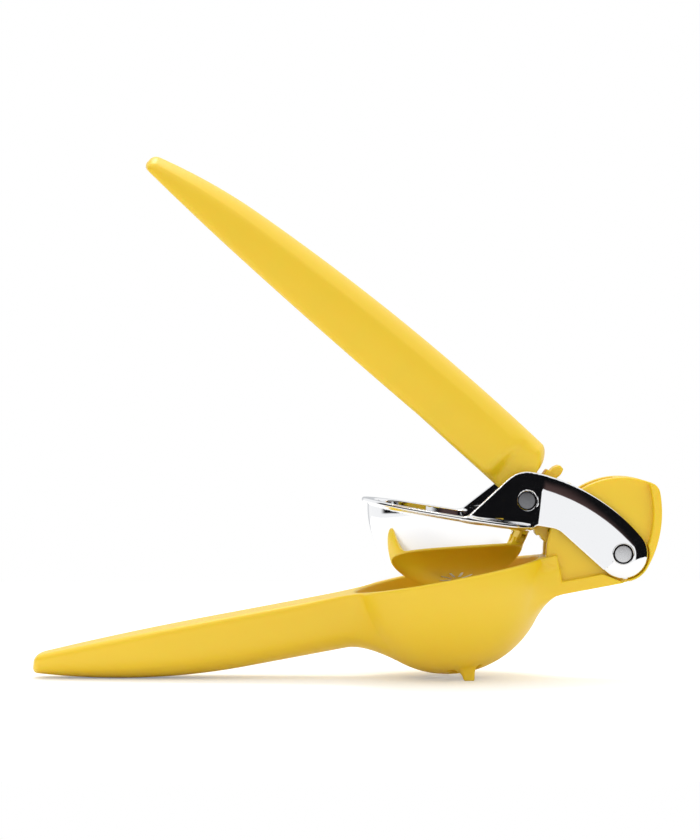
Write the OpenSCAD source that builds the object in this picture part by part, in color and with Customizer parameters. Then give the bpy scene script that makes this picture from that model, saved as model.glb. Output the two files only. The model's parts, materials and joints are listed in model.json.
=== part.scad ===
// Hinged lemon squeezer with a geared upper handle.
//
// A cast press cup swings on the rear pivot, behind the bowl. The upper handle turns on the
// front pivot, between the two ears of the press cup, and its gear rolls on the toothed fan
// behind the bowl. So the cup goes down slower than the handle, and with more force.
//
// The bowl's own frame has its origin on the bowl axis in the plane of the rim, with +X
// towards the hinge. stand() tips it onto its feet and the belly of the lower handle, which is
// how it stands on a table. The press and the upper handle are made closed, then opened.

/* [Stance] */
// Tilt of the bowl rim when the squeezer stands by itself
stance_angle = 10.6; // [9.5:0.1:11.5]
// Opening of the press arm, 0 with the cup home in the bowl
arm_open = 20; // [0:1:50]

/* [Bowl] */
// Inside radius of the bowl
bowl_inner_r = 42; // [40:0.5:46]
// Thickness of the bowl wall
bowl_wall = 2.9; // [2.4:0.1:3.6]
// Number of drain slots round the bottom of the bowl
drain_count = 8; // [4:4:8]
// Width of a drain slot
drain_w = 3; // [2:0.25:3.5]
// Distance from the bowl axis to the inner end of a drain slot
drain_inner_r = 5.5; // [5:0.5:8]
// Distance from the bowl axis to the outer end of a drain slot
drain_outer_r = 17.5; // [14:0.5:22]

/* [Feet] */
// Distance between the centres of the two feet, across the bowl
foot_gauge = 26; // [22:1:30]
// Place of the feet along the bowl, from the bowl axis towards the hinge
foot_x = 1; // [-2:0.5:4]
// Length of a foot's sole
foot_len = 4.8; // [4:0.2:7]
// Width of a foot's sole
foot_w = 4.2; // [3:0.2:5]
// How much a foot widens up to the bowl
foot_flare = 2.8; // [1:0.2:4]

/* [Handles] */
// Width of both handles
handle_w = 32; // [30:0.5:35]
// Width of both handles at the tip
handle_tip_w = 18; // [14:0.5:22]
// Height of a handle's flat side, as a part of its full height
side_share = 0.58; // [0.5:0.01:0.66]
// Radius of the edges along the inner face of a handle
handle_edge_r = 3; // [2:0.25:4]
// Reach of the lower handle from the bowl axis to its tip
lower_reach = 190; // [175:1:205]
// Height of the lower handle
lower_h = 24.3; // [22:0.1:27]
// Height of the lower handle's tip
lower_tip_h = 8.2; // [5:0.2:9]
// Length over which the lower handle's underside rises to the tip
lower_rise_len = 95; // [75:1:110]
// Radius of the blend between the lower handle and the bowl
handle_blend_r = 26; // [18:0.5:30]
// Reach of the upper handle from the front pivot to its tip
upper_reach = 227.5; // [205:0.5:240]
// Height of the upper handle's back above the front pivot, at its fullest
upper_crown_h = 24; // [22:0.2:27]
// Deepest place of the upper handle's inner face below the line from the front pivot to the tip
upper_face_drop = 5.5; // [4.5:0.1:6.5]
// Angle of the upper handle to the rim when it is closed
upper_rise = 2.8; // [1.5:0.1:5]
// Wall round the core pockets under the upper handle
core_wall = 3.2; // [2.6:0.1:4]
// Number of core pockets under the upper handle
core_count = 7; // [5:1:9]

/* [Hinge] */
// Distance from the outside of the bowl to the rear pivot
pivot_reach = 33.6; // [31:0.2:37]
// Depth of the rear pivot below the rim
rear_pivot_drop = 4.7; // [3.5:0.1:6]
// Height of the front pivot above the rim, closed
front_pivot_h = 11.7; // [11:0.1:13]
// Radius of the hinge block round the rear pivot
hinge_r = 12.5; // [12.2:0.1:14]
// Width of the toothed fan, between the ears
fan_w = 24; // [21:0.5:26]
// Distance from the rear pivot to the straight back of the fan
fan_back = 21.2; // [19.5:0.2:23]
// Radius of the fan's back below the straight
fan_back_r = 50; // [44:1:60]
// Width of the raised border along the fan's back
border_w = 3.8; // [2.5:0.1:4.5]
// Distance from the rear pivot to the front of the recess that holds the ear
nest_front = 29.1; // [27.5:0.1:29.5]
// Distance from the rear pivot to the bottom of that recess
nest_drop = 7.2; // [6:0.1:8]
// Radius of the blend between the neck and the bowl
neck_blend_r = 10; // [7:0.5:12]

/* [Gears] */
// Module of both gears
gear_module = 2.8; // [2.6:0.05:3]
// Teeth on the upper handle's full gear circle
handle_teeth = 14; // [14:1:14]
// Teeth on the fan's full gear circle
fan_teeth = 21; // [21:1:21]
// Width of the upper handle's gear
gear_w = 13; // [10:0.5:15]
// Cut taken off each tooth's thickness, so that the gears run free
tooth_play = 0.12; // [0.08:0.02:0.3]
// Height of the fan's two cheeks above its teeth
fan_guard = 2.4; // [1.6:0.1:2.6]

/* [Press cup] */
// Gap between the press cup and the inside of the bowl
cup_gap = 4.7; // [3.5:0.1:6]
// Height of the press cup's centre above the rim, closed
cup_centre_h = 2.7; // [1.5:0.1:4]
// Thickness of the press cup's wall
cup_wall = 2.4; // [1.8:0.1:3]
// Gap between the press cup's flange and the inside of the bowl
flange_gap = 2; // [1.6:0.1:2.6]
// Thickness of the flange
flange_t = 1.8; // [1.4:0.1:2.2]

/* [Press ears] */
// Thickness of an ear
ear_t = 3.4; // [3:0.1:4]
// Radius of an ear round the front pivot
ear_front_r = 13; // [12:0.1:13.5]
// Radius of an ear round the rear pivot
ear_rear_r = 11.3; // [10.6:0.1:11.8]
// Radius of the long arc along the top of an ear
ear_back_r = 86; // [78:1:100]
// Slope of an ear's front edge, up from the flange
ear_front_slope = 49.7; // [46:0.1:54]
// Slope of an ear's lower edge, down to the rear pivot
ear_under_slope = 32.5; // [31:0.1:34]
// Angle at which the walls of the fork spread to the flange
splay_angle = 46; // [43:0.5:49]
// Radius of the bend between an ear and its spread wall
splay_r = 25.5; // [23:0.5:28]
// Distance behind the front pivot at which that bend starts
splay_start = 7.7; // [6:0.1:9]
// Height of the bevel along the outside of an ear's top edge
ear_bevel_h = 8; // [5:0.5:10]
// Depth of that bevel
ear_bevel = 1.3; // [0.6:0.1:1.6]

/* [Pivot pins] */
// Radius of a pivot pin's shank
pin_r = 3; // [2.5:0.1:3.4]
// Radius of a pin's head and of its cap
pin_head_r = 4.15; // [3.9:0.05:4.4]
// Thickness of a pin's head and of its cap
pin_head_t = 1.6; // [1.4:0.1:1.9]
// Radius of the spigot that the cap is pressed on
pin_spigot_r = 2.2; // [1.8:0.1:2.4]
// Radius of the dished seat round the front pin's head
front_seat_r = 6; // [5.4:0.1:6.4]
// Radius of the seat round the rear pin's head
rear_seat_r = 4.8; // [4.7:0.1:5.4]

/* [Clearances] */
// Gap between each ear and what turns between the ears
side_gap = 0.3; // [0.25:0.05:0.5]
// Gap between a pivot pin and the bore that turns on it
pin_play = 0.05; // [0.04:0.01:0.09]
// Gap round an ear in its recess
nest_gap = 0.4; // [0.35:0.05:0.6]
// Gap on each side of the gear in the slot of the fan
slot_gap = 0.25; // [0.2:0.05:0.4]
// Gap round the handle's gear and hub where they turn into the rear of the cup
gear_room_gap = 0.4; // [0.3:0.05:0.8]

/* [Hidden] */
$fn = 96;

yellow = "#EFC83C";
chrome = "#D5D8DC";
steel = "#A9ABAE";

// Bowl
bowl_outer_r = bowl_inner_r + bowl_wall;
rim_r = bowl_wall / 2;
rim_mid_r = bowl_inner_r + rim_r;
drain_cut = 8;
// Blends end this far inside the bowl's outer face, so that they run into it at a clear angle
blend_sink = 0.5;

// Gear pair
pressure_angle = 20;
handle_pitch_r = gear_module * handle_teeth / 2;
fan_pitch_r = gear_module * fan_teeth / 2;
addendum = 0.8 * gear_module;
dedendum = gear_module;
gear_ratio = fan_teeth / handle_teeth;
fan_r = fan_pitch_r + addendum + fan_guard;
handle_tooth_count = 5;
// Place of the handle's last tooth against the line of pivots, closed
last_tooth_angle = -1.8;
slot_w = gear_w + 2 * slot_gap;

// Pivots, closed
rear_pivot = [bowl_outer_r + pivot_reach, -rear_pivot_drop];
pivot_span = handle_pitch_r + fan_pitch_r;
pivot_rise = front_pivot_h + rear_pivot_drop;
front_pivot = [rear_pivot.x - sqrt(pivot_span * pivot_span - pivot_rise * pivot_rise),
               front_pivot_h];
line_angle = atan2(pivot_rise, front_pivot.x - rear_pivot.x);

// Hinge block, across the ears
ear_in_y = fan_w / 2 + side_gap;
ear_out_y = ear_in_y + ear_t;
seat_y = ear_out_y - pin_head_t;
hub_r = ear_rear_r - 0.3;
fan_corner_r = 2;
// The straight edge of the recess runs this deep into its round end, to meet it at a clear angle
nest_bite = 0.1;
fan_back_z = sqrt((hinge_r - fan_back) * (hinge_r + fan_back - 2 * fan_back_r));
fan_back_centre = [fan_back - fan_back_r, fan_back_z];
fan_tangent_angle = atan2(-fan_back_centre.y, -fan_back_centre.x);

// Press cup, closed
cup_outer_r = bowl_inner_r - cup_gap;
cup_inner_r = cup_outer_r - cup_wall;
flange_r = bowl_inner_r - flange_gap;
flange_z = flange_t / 2;
// The wall of the fork stands this deep in the flange
wall_root = 0.4;
// Lower edge of an ear over the rim of the bowl
ear_under_z = 1.3;

// Handle shapes
lower_tip_top_drop = 1.6;
lower_top_len = 80;
upper_peak_u = 35;
upper_back_r = 1090;
upper_fall_u = 175;
upper_fall_r = 325;
upper_face_low_u = 165;
upper_face_root_r = 3500;
upper_face_tip_r = 1600;
upper_face_flat_u = 60;
upper_tip_under = 2.4;
handle_plan_len = 75;
tip_round = 3;
upper_shoulder_u = 11;
upper_full_u = 24;
upper_throat_u = 13;

// ---------------------------------------------------------------- helpers

function sq(a) = a * a;
function lerp(a, b, t) = a + (b - a) * t;
function clamp01(t) = max(0, min(1, t));
function steps(a, b, n) = [for (i = [0:n - 1]) lerp(a, b, i / n)];
function smooth(t) = let (c = clamp01(t)) c * c * (3 - 2 * c);
function reversed(list) = [for (i = [len(list) - 1:-1:0]) list[i]];
// A closed ring from the points of its right-hand half, bottom to top
function mirrored(half) = concat(half, [for (i = [len(half) - 2:-1:1]) [-half[i].x, half[i].y]]);

// A solid through closed rings of points, one after another
module loft(rings) {
    n = len(rings[0]);
    m = len(rings);
    polyhedron(
        points = [for (ring = rings) each ring],
        faces = concat(
            [[for (i = [0:n - 1]) i]],
            [for (k = [0:m - 2], i = [0:n - 1]) each
                let (a = k * n + i, b = k * n + (i + 1) % n) [[a, a + n, b], [b, a + n, b + n]]],
            [[for (i = [n - 1:-1:0]) (m - 1) * n + i]]),
        convexity = 6);
}

// A flat side outline, drawn in X and Z, made a plate that reaches half to each side
module plate(half) {
    rotate([90, 0, 0]) translate([0, 0, -half]) linear_extrude(2 * half, convexity = 6) children();
}

// A round bar across the tool at a point of the side view
module cross_bar(at, r, from_y, to_y) {
    translate([at.x, to_y, at.y]) rotate([90, 0, 0]) cylinder(r = r, h = to_y - from_y);
}

module sector(r, from, to, n = 8) {
    polygon(concat([[0, 0]], [for (i = [0:n]) let (a = lerp(from, to, i / n)) r * [cos(a), sin(a)]]));
}

// Section of a handle: a flat inner face, flat sides to the ridge, then an arched back.
// The points are [across, up], and back is above or below the face.
function handle_section(half_w, face, ridge, back) =
    let (up = sign(back - face), rise = abs(back - ridge), turn = 4, arch = 6,
         r = min(handle_edge_r, 0.45 * abs(ridge - face), 0.45 * half_w),
         arch_r = (sq(half_w) + sq(rise)) / (2 * rise),
         spread = rise < half_w ? asin(half_w / arch_r) : 180 - asin(half_w / arch_r),
         half = concat(
             [[0, face]],
             [for (i = [0:turn]) let (a = 90 * (1 - i / turn))
                 [half_w - r + r * cos(a), face + up * (r - r * sin(a))]],
             [[half_w, ridge]],
             [for (i = [1:arch]) let (a = spread * (1 - i / arch))
                 [arch_r * sin(a), back - up * arch_r * (1 - cos(a))]]))
    mirrored(up > 0 ? half : reversed(half));

// Half width of a handle at a distance from its tip
function handle_half_w(from_tip) =
    let (narrow = (handle_w - handle_tip_w) / 2, t = max(0, 1 - from_tip / handle_plan_len))
    handle_w / 2 - narrow * sq(t);

// Inset of a handle's section close to its tip, which rounds the end
function tip_inset(from_tip) =
    from_tip >= tip_round ? 0 : tip_round - sqrt(sq(tip_round) - sq(tip_round - from_tip));

// Rolling-ball blend onto the bowl: the distance from the X axis, in a section at x, of a bar
// whose own surface is rho from that axis
function blended(x, rho, ball_r) =
    let (sphere_r = bowl_outer_r - blend_sink,
         start = sqrt(sq(sphere_r + ball_r) - sq(rho + ball_r)),
         end = start * sphere_r / (sphere_r + ball_r),
         d = abs(x))
    d >= start ? rho
    : d >= end ? rho + ball_r - sqrt(sq(ball_r) - sq(start - d))
    : sqrt(sq(sphere_r) - sq(d));

function blended_ring(x, section, ball_r) =
    [for (p = section) let (rho = norm(p), k = rho == 0 ? 0 : blended(x, rho, ball_r) / rho)
        [x, p.x * k, p.y * k]];

// ---------------------------------------------------------------- gears

function involute(a) = tan(a) * 180 / PI - a;

// Half angle of a tooth at radius r
function tooth_half_angle(r, pitch_r, teeth) =
    let (base_r = pitch_r * cos(pressure_angle), at = r > base_r ? acos(base_r / r) : 0)
    90 / teeth - tooth_play / 2 / pitch_r * 180 / PI + involute(pressure_angle) - involute(at);

module tooth(pitch_r, teeth, angle) {
    flank = 6;
    root_r = pitch_r - dedendum;
    tip_r = pitch_r + addendum;
    radii = concat([root_r - 1], [for (i = [0:flank]) lerp(root_r, tip_r, i / flank)]);
    rotate(angle) polygon(concat(
        [for (r = radii) let (a = -tooth_half_angle(r, pitch_r, teeth)) r * [cos(a), sin(a)]],
        [for (i = [len(radii) - 1:-1:0])
            let (r = radii[i], a = tooth_half_angle(r, pitch_r, teeth)) r * [cos(a), sin(a)]]));
}

// ---------------------------------------------------------------- lower body

// Height of the lower handle's top and underside at x, which is negative along the handle
function lower_top(x) =
    -lower_tip_top_drop * sq(max(0, 1 - (lower_reach + x) / lower_top_len));
function lower_under(x) =
    let (tip_under = -lower_tip_top_drop - lower_tip_h,
         t = max(0, 1 - (lower_reach + x) / lower_rise_len))
    -lower_h + (tip_under + lower_h) * sq(t);

function lower_ring(x) =
    let (from_tip = lower_reach + x, inset = tip_inset(from_tip) * 0.6,
         top = lower_top(x) - inset, under = lower_under(x) + inset)
    blended_ring(x, handle_section(handle_half_w(from_tip) - tip_inset(from_tip), top,
                                   lerp(top, under, side_share), under), handle_blend_r);

lower_blend_x = -sqrt(sq(bowl_outer_r + handle_blend_r) - sq(handle_blend_r));
lower_root_x = -bowl_inner_r * 0.7;
lower_rings = [for (x = concat(
    [for (d = [0, 0.3, 1, 2]) -lower_reach + d * tip_round / 3],
    steps(-lower_reach + tip_round, -lower_reach + lower_rise_len, 9),
    steps(-lower_reach + lower_rise_len, lower_blend_x, 2),
    steps(lower_blend_x, lower_root_x, 12), [lower_root_x])) lower_ring(x)];

// The ground, as a height in the bowl's frame after the tilt: the lowest line of the handle
ground_z = min([for (ring = lower_rings, p = ring)
    p.x * sin(stance_angle) + p.z * cos(stance_angle)]);
function ground_at(x) = (ground_z - x * sin(stance_angle)) / cos(stance_angle);

// Outside of the bowl, with a half-round rim
module bowl_outside() {
    rotate_extrude() {
        intersection() {
            circle(r = bowl_outer_r, $fn = 128);
            translate([0, -bowl_outer_r]) square([bowl_outer_r, bowl_outer_r - rim_r]);
        }
        translate([0, -rim_r - 0.01]) square([rim_mid_r, rim_r + 0.01]);
        translate([rim_mid_r, -rim_r]) circle(r = rim_r, $fn = 32);
    }
}

// All that is cut away inside the bowl, up past the rim
module bowl_inside() {
    lift = 3;
    rotate_extrude() {
        intersection() {
            circle(r = bowl_inner_r, $fn = 128);
            translate([0, -bowl_outer_r]) square([bowl_outer_r, bowl_outer_r - rim_r]);
        }
        difference() {
            translate([0, -rim_r - 0.01]) square([rim_mid_r, rim_r + lift]);
            translate([rim_mid_r, -rim_r]) circle(r = rim_r, $fn = 32);
        }
    }
}

module drain_slots() {
    for (i = [0:drain_count - 1]) rotate((i + 0.5) * 360 / drain_count) {
        translate([drain_inner_r + drain_w / 2, 0, -bowl_outer_r - 1]) {
            cylinder(d = drain_w, h = drain_cut);
            translate([0, -drain_w / 2, 0])
                cube([drain_outer_r - drain_inner_r - drain_w, drain_w, drain_cut]);
            translate([drain_outer_r - drain_inner_r - drain_w, 0, 0])
                cylinder(d = drain_w, h = drain_cut);
        }
    }
}

// One foot, from the sole on the ground up into the wall of the bowl
module foot(side) {
    y = side * foot_gauge / 2;
    root_z = -sqrt(sq(bowl_inner_r + bowl_wall / 2) - sq(foot_gauge / 2 + foot_w / 2));
    front = foot_x - foot_len / 2;
    back = foot_x + foot_len / 2;
    half = foot_w / 2;
    wide = half + foot_flare / 4;
    loft([
        [[front, y - half, ground_at(front)], [back, y - half, ground_at(back)],
         [back, y + half, ground_at(back)], [front, y + half, ground_at(front)]],
        [[front - foot_flare, y - wide, root_z], [back, y - wide, root_z],
         [back, y + wide, root_z], [front - foot_flare, y + wide, root_z]]]);
}

// Outline of the hinge block and the fan, round the rear pivot
module hinge_outline() {
    far = 2 * fan_r;
    corner = [fan_back - fan_corner_r, sqrt(sq(fan_r - fan_corner_r) - sq(fan_back - fan_corner_r))];
    circle(r = hinge_r);
    difference() {
        intersection() {
            circle(r = fan_r, $fn = 180);
            translate(fan_back_centre) circle(r = fan_back_r, $fn = 180);
            translate([-fan_r, -hinge_r]) square([fan_r + fan_back, far]);
            union() {
                translate([-nest_front, -hinge_r]) square([nest_front, far]);
                translate([-fan_r, rear_pivot_drop]) square([fan_r, far]);
                polygon([[0, 0], far * [cos(fan_tangent_angle), sin(fan_tangent_angle)],
                         [far, far], [0, far]]);
            }
        }
        difference() {
            polygon([corner, corner + [fan_corner_r * 2, 0], corner * 1.3,
                     corner * fan_r / norm(corner) * 1.05]);
            translate(corner) circle(r = fan_corner_r, $fn = 48);
        }
    }
}

// Recess that takes the end of an ear, open to the top
module nest_outline() {
    end_r = ear_rear_r + nest_gap + nest_bite;
    flat_r = ear_rear_r + nest_gap;
    under = [sin(ear_under_slope), cos(ear_under_slope)];
    difference() {
        translate([-nest_front, -nest_drop]) square([nest_front + fan_back + 1, 2 * fan_r]);
        difference() {
            translate([0, -hinge_r - 1]) square([fan_back + 2, 2 * fan_r]);
            translate(fan_back_centre) circle(r = fan_back_r - border_w, $fn = 180);
        }
    }
    circle(r = end_r);
    polygon([[0, 0], -flat_r * under, -flat_r * under + 7 * [-under.y, under.x], [-nest_front + 8, 0]]);
    translate([-fan_r - 1, rear_pivot_drop]) square([fan_r, 2 * fan_r]);
}

// Slot for the handle's gear, with the teeth of the fan left standing in it
module fan_slot_outline() {
    pitch = 360 / fan_teeth;
    first_gap = line_angle - last_tooth_angle / gear_ratio;
    end = first_gap - (handle_tooth_count - 0.5) * pitch;
    start = 180 - asin(rear_pivot_drop / fan_r);
    difference() {
        sector(fan_r + 2, end, start, 12);
        circle(r = fan_pitch_r - dedendum, $fn = 120);
        for (i = [0:handle_tooth_count]) tooth(fan_pitch_r, fan_teeth, first_gap - (i - 0.5) * pitch);
    }
}

function neck_ring(x) =
    let (half = ear_out_y, low = -rear_pivot_drop - hinge_r, e = 1.2)
    blended_ring(x, mirrored([[0, low], [half * 0.3, low], [half * 0.6, low], [half - e, low],
        [half, low + e], [half, low * 2 / 3], [half, low / 3], [half, 0], [0, 0]]),
        neck_blend_r);

neck_rings = [for (x = concat(
    steps(bowl_inner_r * 0.7, rear_pivot.x - nest_front, 10), [rear_pivot.x - nest_front]))
    neck_ring(x)];

module lower_body() {
    color(yellow) difference() {
        union() {
            bowl_outside();
            loft(lower_rings);
            loft(neck_rings);
            for (side = [-1, 1]) foot(side);
            translate([rear_pivot.x, 0, rear_pivot.y]) {
                plate(fan_w / 2) hinge_outline();
                plate(ear_out_y) difference() {
                    hinge_outline();
                    nest_outline();
                }
            }
        }
        bowl_inside();
        drain_slots();
        translate([rear_pivot.x, 0, rear_pivot.y]) plate(slot_w / 2) fan_slot_outline();
        cross_bar(rear_pivot, pin_r + pin_play, -ear_out_y - 1, ear_out_y + 1);
    }
}

// ---------------------------------------------------------------- press cup

// Centre of the long arc along the top of an ear, which touches both end circles
arc_along = (sq(ear_back_r - ear_rear_r) - sq(ear_back_r - ear_front_r) + sq(pivot_span))
    / (2 * pivot_span);
arc_below = sqrt(sq(ear_back_r - ear_rear_r) - sq(arc_along));
to_front = [cos(line_angle), sin(line_angle)];
arc_centre = rear_pivot + arc_along * to_front + arc_below * [-to_front.y, to_front.x];

// Places along X where the top edge goes from one curve to the next
edge_top_x = front_pivot.x - ear_front_r * sin(ear_front_slope);
arc_front_x = (front_pivot + ear_front_r * (front_pivot - arc_centre) / norm(front_pivot - arc_centre)).x;
arc_rear_x = (rear_pivot + ear_rear_r * (rear_pivot - arc_centre) / norm(rear_pivot - arc_centre)).x;
ear_end_x = rear_pivot.x + ear_rear_r;
edge_top_z = front_pivot.y + ear_front_r * cos(ear_front_slope);
edge_foot_x = edge_top_x - (edge_top_z - flange_z + wall_root) / tan(ear_front_slope);

// Top edge of an ear at x
function ear_top(x) =
    x < edge_top_x ? edge_top_z - (edge_top_x - x) * tan(ear_front_slope)
    : x < arc_front_x ? front_pivot.y + sqrt(sq(ear_front_r) - sq(x - front_pivot.x))
    : x < arc_rear_x ? arc_centre.y + sqrt(sq(ear_back_r) - sq(x - arc_centre.x))
    : rear_pivot.y + sqrt(max(0, sq(ear_rear_r) - sq(x - rear_pivot.x)));

// Lower edge of an ear at x
under_touch_x = rear_pivot.x - ear_rear_r * sin(ear_under_slope);
under_touch_z = rear_pivot.y - ear_rear_r * cos(ear_under_slope);
ear_clear_x = flange_r - 2;
under_bend_x = under_touch_x - (ear_under_z - under_touch_z) / tan(ear_under_slope);
function ear_under(x) =
    x < ear_clear_x - 2 ? flange_z - wall_root - 1
    : x < ear_clear_x ? lerp(flange_z - wall_root - 1, ear_under_z, (x - ear_clear_x + 2) / 2)
    : x < under_touch_x ? min(ear_under_z, under_touch_z + (under_touch_x - x) * tan(ear_under_slope))
    : rear_pivot.y - sqrt(max(0, sq(ear_rear_r) - sq(x - rear_pivot.x)));

// Plan of the fork: a face of an ear and of the wall that spreads from it, inset from the outside
bend_x = front_pivot.x + splay_start;
bend_y = ear_out_y + splay_r;
function fork_y(x, inset) =
    let (r = splay_r + inset, turn_x = bend_x - r * sin(splay_angle), turn_y = bend_y - r * cos(splay_angle))
    x >= bend_x ? bend_y - r
    : x >= turn_x ? bend_y - sqrt(sq(r) - sq(bend_x - x))
    : turn_y + (turn_x - x) * tan(splay_angle);

function fork_out(x) = min(fork_y(x, 0), sqrt(max(1, sq(flange_r - 0.3) - sq(x))) + 60 * clamp01(x / 8 - 1.6));
function fork_in(x) = min(fork_y(x, ear_t), fork_out(x) - 1.5);

// One section of an ear or wall, with a bevel along the outside of its top edge
function ear_ring(x, side) =
    let (top = ear_top(x), under = ear_under(x), h = max(0.05, top - under),
         out = fork_out(x), in = fork_in(x), bevel = min(ear_bevel_h, 0.45 * h),
         cut = ear_bevel * bevel / ear_bevel_h, e = min(1, h / 6),
         ring = [[in, under], [out, under], [out, top - bevel], [out - cut, top - e],
                 [out - cut - e, top], [in + e / 2, top], [in, top - e]])
    [for (i = [0:len(ring) - 1]) let (p = ring[side > 0 ? i : len(ring) - 1 - i]) [x, side * p.x, p.y]];

ear_stations = concat(
    steps(edge_foot_x, edge_top_x, 9), steps(edge_top_x, arc_front_x, 6),
    steps(arc_front_x, under_bend_x, 3), steps(under_bend_x, arc_rear_x, 6),
    [for (a = [0:6]) lerp(rear_pivot.x, ear_end_x - 0.02, sin(lerp(asin((arc_rear_x - rear_pivot.x)
        / ear_rear_r), 90, a / 6)))]);

module fork_inside(inset) {
    far = flange_r + 1;
    xs = [for (x = ear_stations) if (x < ear_clear_x + 4) x];
    edge = concat([[-far, far], [xs[0] - 1, far]], [for (x = xs) [x, fork_in(x) - inset]]);
    polygon(concat(edge, [for (i = [len(edge) - 1:-1:0]) [edge[i].x, -edge[i].y]]));
}

// Cup and flange, solid
module cup_outside() {
    translate([0, 0, 0]) rotate_extrude() {
        intersection() {
            translate([0, cup_centre_h]) circle(r = cup_outer_r, $fn = 128);
            translate([0, -bowl_outer_r]) square([bowl_outer_r, bowl_outer_r]);
        }
        translate([0, -flange_z]) square([flange_r - flange_z, flange_t]);
        translate([flange_r - flange_z, 0]) circle(r = flange_z, $fn = 24);
    }
}

// Room in the rear of the cup and flange for the handle's gear and hub to turn
module gear_room() {
    cross_bar(front_pivot, handle_pitch_r + addendum + gear_room_gap, -slot_w / 2, slot_w / 2);
    cross_bar(front_pivot, hub_r + gear_room_gap, -ear_in_y, ear_in_y);
}

module pin_seats(at, seat_r) {
    for (side = [-1, 1]) {
        translate([at.x, side * seat_y, at.y]) rotate([-90 * side, 0, 0]) {
            cylinder(r = pin_head_r + 0.15, h = 12);
            translate([0, 0, pin_head_t * 0.5]) cylinder(r1 = pin_head_r + 0.15, r2 = seat_r,
                h = pin_head_t * 0.5);
            translate([0, 0, pin_head_t]) cylinder(r = seat_r, h = 12);
        }
    }
    cross_bar(at, pin_r, -ear_out_y - 1, ear_out_y + 1);
}

module press_cup_closed() {
    difference() {
        union() {
            difference() {
                cup_outside();
                intersection() {
                    translate([0, 0, cup_centre_h]) sphere(r = cup_inner_r, $fn = 128);
                    translate([0, 0, -bowl_outer_r]) linear_extrude(2 * bowl_outer_r) fork_inside(0.2);
                }
            }
            for (side = [-1, 1]) loft([for (x = ear_stations) ear_ring(x, side)]);
        }
        pin_seats(front_pivot, front_seat_r);
        pin_seats(rear_pivot, rear_seat_r);
        gear_room();
    }
}

// ---------------------------------------------------------------- upper handle

// Heights of the upper handle's inner face and back, over the line from the pivot to the tip
function upper_face(u) =
    let (t = max(u, upper_face_flat_u) - upper_face_low_u, r = t > 0 ? upper_face_tip_r : upper_face_root_r)
    sq(t) / (2 * r) - upper_face_drop;
function upper_back(u) =
    upper_crown_h - sq(u - upper_peak_u) / (2 * upper_back_r)
        - sq(max(0, u - upper_fall_u)) / (2 * upper_fall_r) - sq(max(0, upper_shoulder_u - u)) / 6;

function upper_half_w(u) =
    let (full = handle_half_w(upper_reach - u))
    lerp(fan_w / 2, full, smooth((u - upper_throat_u) / (upper_full_u - upper_throat_u) * 0.9));
function upper_ridge(u) =
    let (face = upper_face(u), back = upper_back(u), full = lerp(face, back, side_share))
    u > upper_full_u ? full : lerp(back - 4.5, full, clamp01((u - upper_shoulder_u)
        / (upper_full_u - upper_shoulder_u)));

function upper_ring(u) =
    let (inset = tip_inset(upper_reach - u), face = upper_face(u) + inset * 0.6,
         back = upper_back(u) - inset * 0.6)
    [for (p = handle_section(upper_half_w(u) - inset, face, upper_ridge(u), back)) [-u, p.x, p.y]];

upper_rings = [for (u = concat(
    [for (d = [0, 0.3, 1, 2]) upper_reach - d * tip_round / 3],
    steps(upper_reach - tip_round, upper_full_u, 14),
    steps(upper_full_u, upper_shoulder_u, 6), [upper_shoulder_u, 7.7, 4.8])) upper_ring(u)];

// Core pockets in the inner face, with a rib left between each two
core_start = 34;
core_end_gap = 30;
core_rib = 2.4;
core_draft = 1;
module core_pockets() {
    pitch = (upper_reach - core_end_gap - core_start + core_rib) / core_count;
    for (i = [0:core_count - 1]) {
        u0 = core_start + i * pitch;
        u1 = u0 + pitch - core_rib;
        loft([core_ring(u0, u1, 0), core_ring(u0, u1, 1)]);
    }
}

// Mouth (deep = 0) or floor (deep = 1) of the pocket between u0 and u1
function core_ring(u0, u1, deep) =
    let (draft = deep * core_draft,
         half = function (u) upper_half_w(u) - core_wall - draft,
         z = function (u) deep == 0 ? upper_face(u) - 1 : lerp(upper_face(u), upper_back(u), 0.5))
    [[-u1 + draft, -half(u1), z(u1)], [-u0 - draft, -half(u0), z(u0)],
     [-u0 - draft, half(u0), z(u0)], [-u1 + draft, half(u1), z(u1)]];

module handle_gear() {
    pitch = 360 / handle_teeth;
    // Angle of the line of pivots as the handle sees it, closed
    line = line_angle - 180 + upper_rise;
    root_r = handle_pitch_r - dedendum;
    low = line + last_tooth_angle - pitch / 2;
    plate(gear_w / 2) {
        intersection() {
            circle(r = root_r);
            sector(2 * root_r, low, low + handle_tooth_count * pitch);
        }
        for (i = [0:handle_tooth_count - 1])
            tooth(handle_pitch_r, handle_teeth, line + last_tooth_angle + i * pitch);
    }
}

// Made with the front pivot at the origin and the tip towards -X
module upper_handle_closed() {
    difference() {
        union() {
            loft(upper_rings);
            cross_bar([0, 0], hub_r, -fan_w / 2, fan_w / 2);
            handle_gear();
        }
        core_pockets();
        cross_bar([0, 0], pin_r + pin_play, -fan_w, fan_w);
    }
}

// ---------------------------------------------------------------- pivot pins

pin_edge = 0.3;
spigot_len = 1.1;

// A headed pin on the Y axis: head at -Y, shank to the far seat, then the spigot
module pivot_pin() {
    rotate([90, 0, 0]) rotate_extrude() polygon([
        [0, -seat_y - spigot_len], [pin_spigot_r, -seat_y - spigot_len], [pin_spigot_r, -seat_y],
        [pin_r, -seat_y], [pin_r, seat_y], [pin_head_r, seat_y],
        [pin_head_r, ear_out_y - pin_edge], [pin_head_r - pin_edge, ear_out_y], [0, ear_out_y]]);
}

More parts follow.
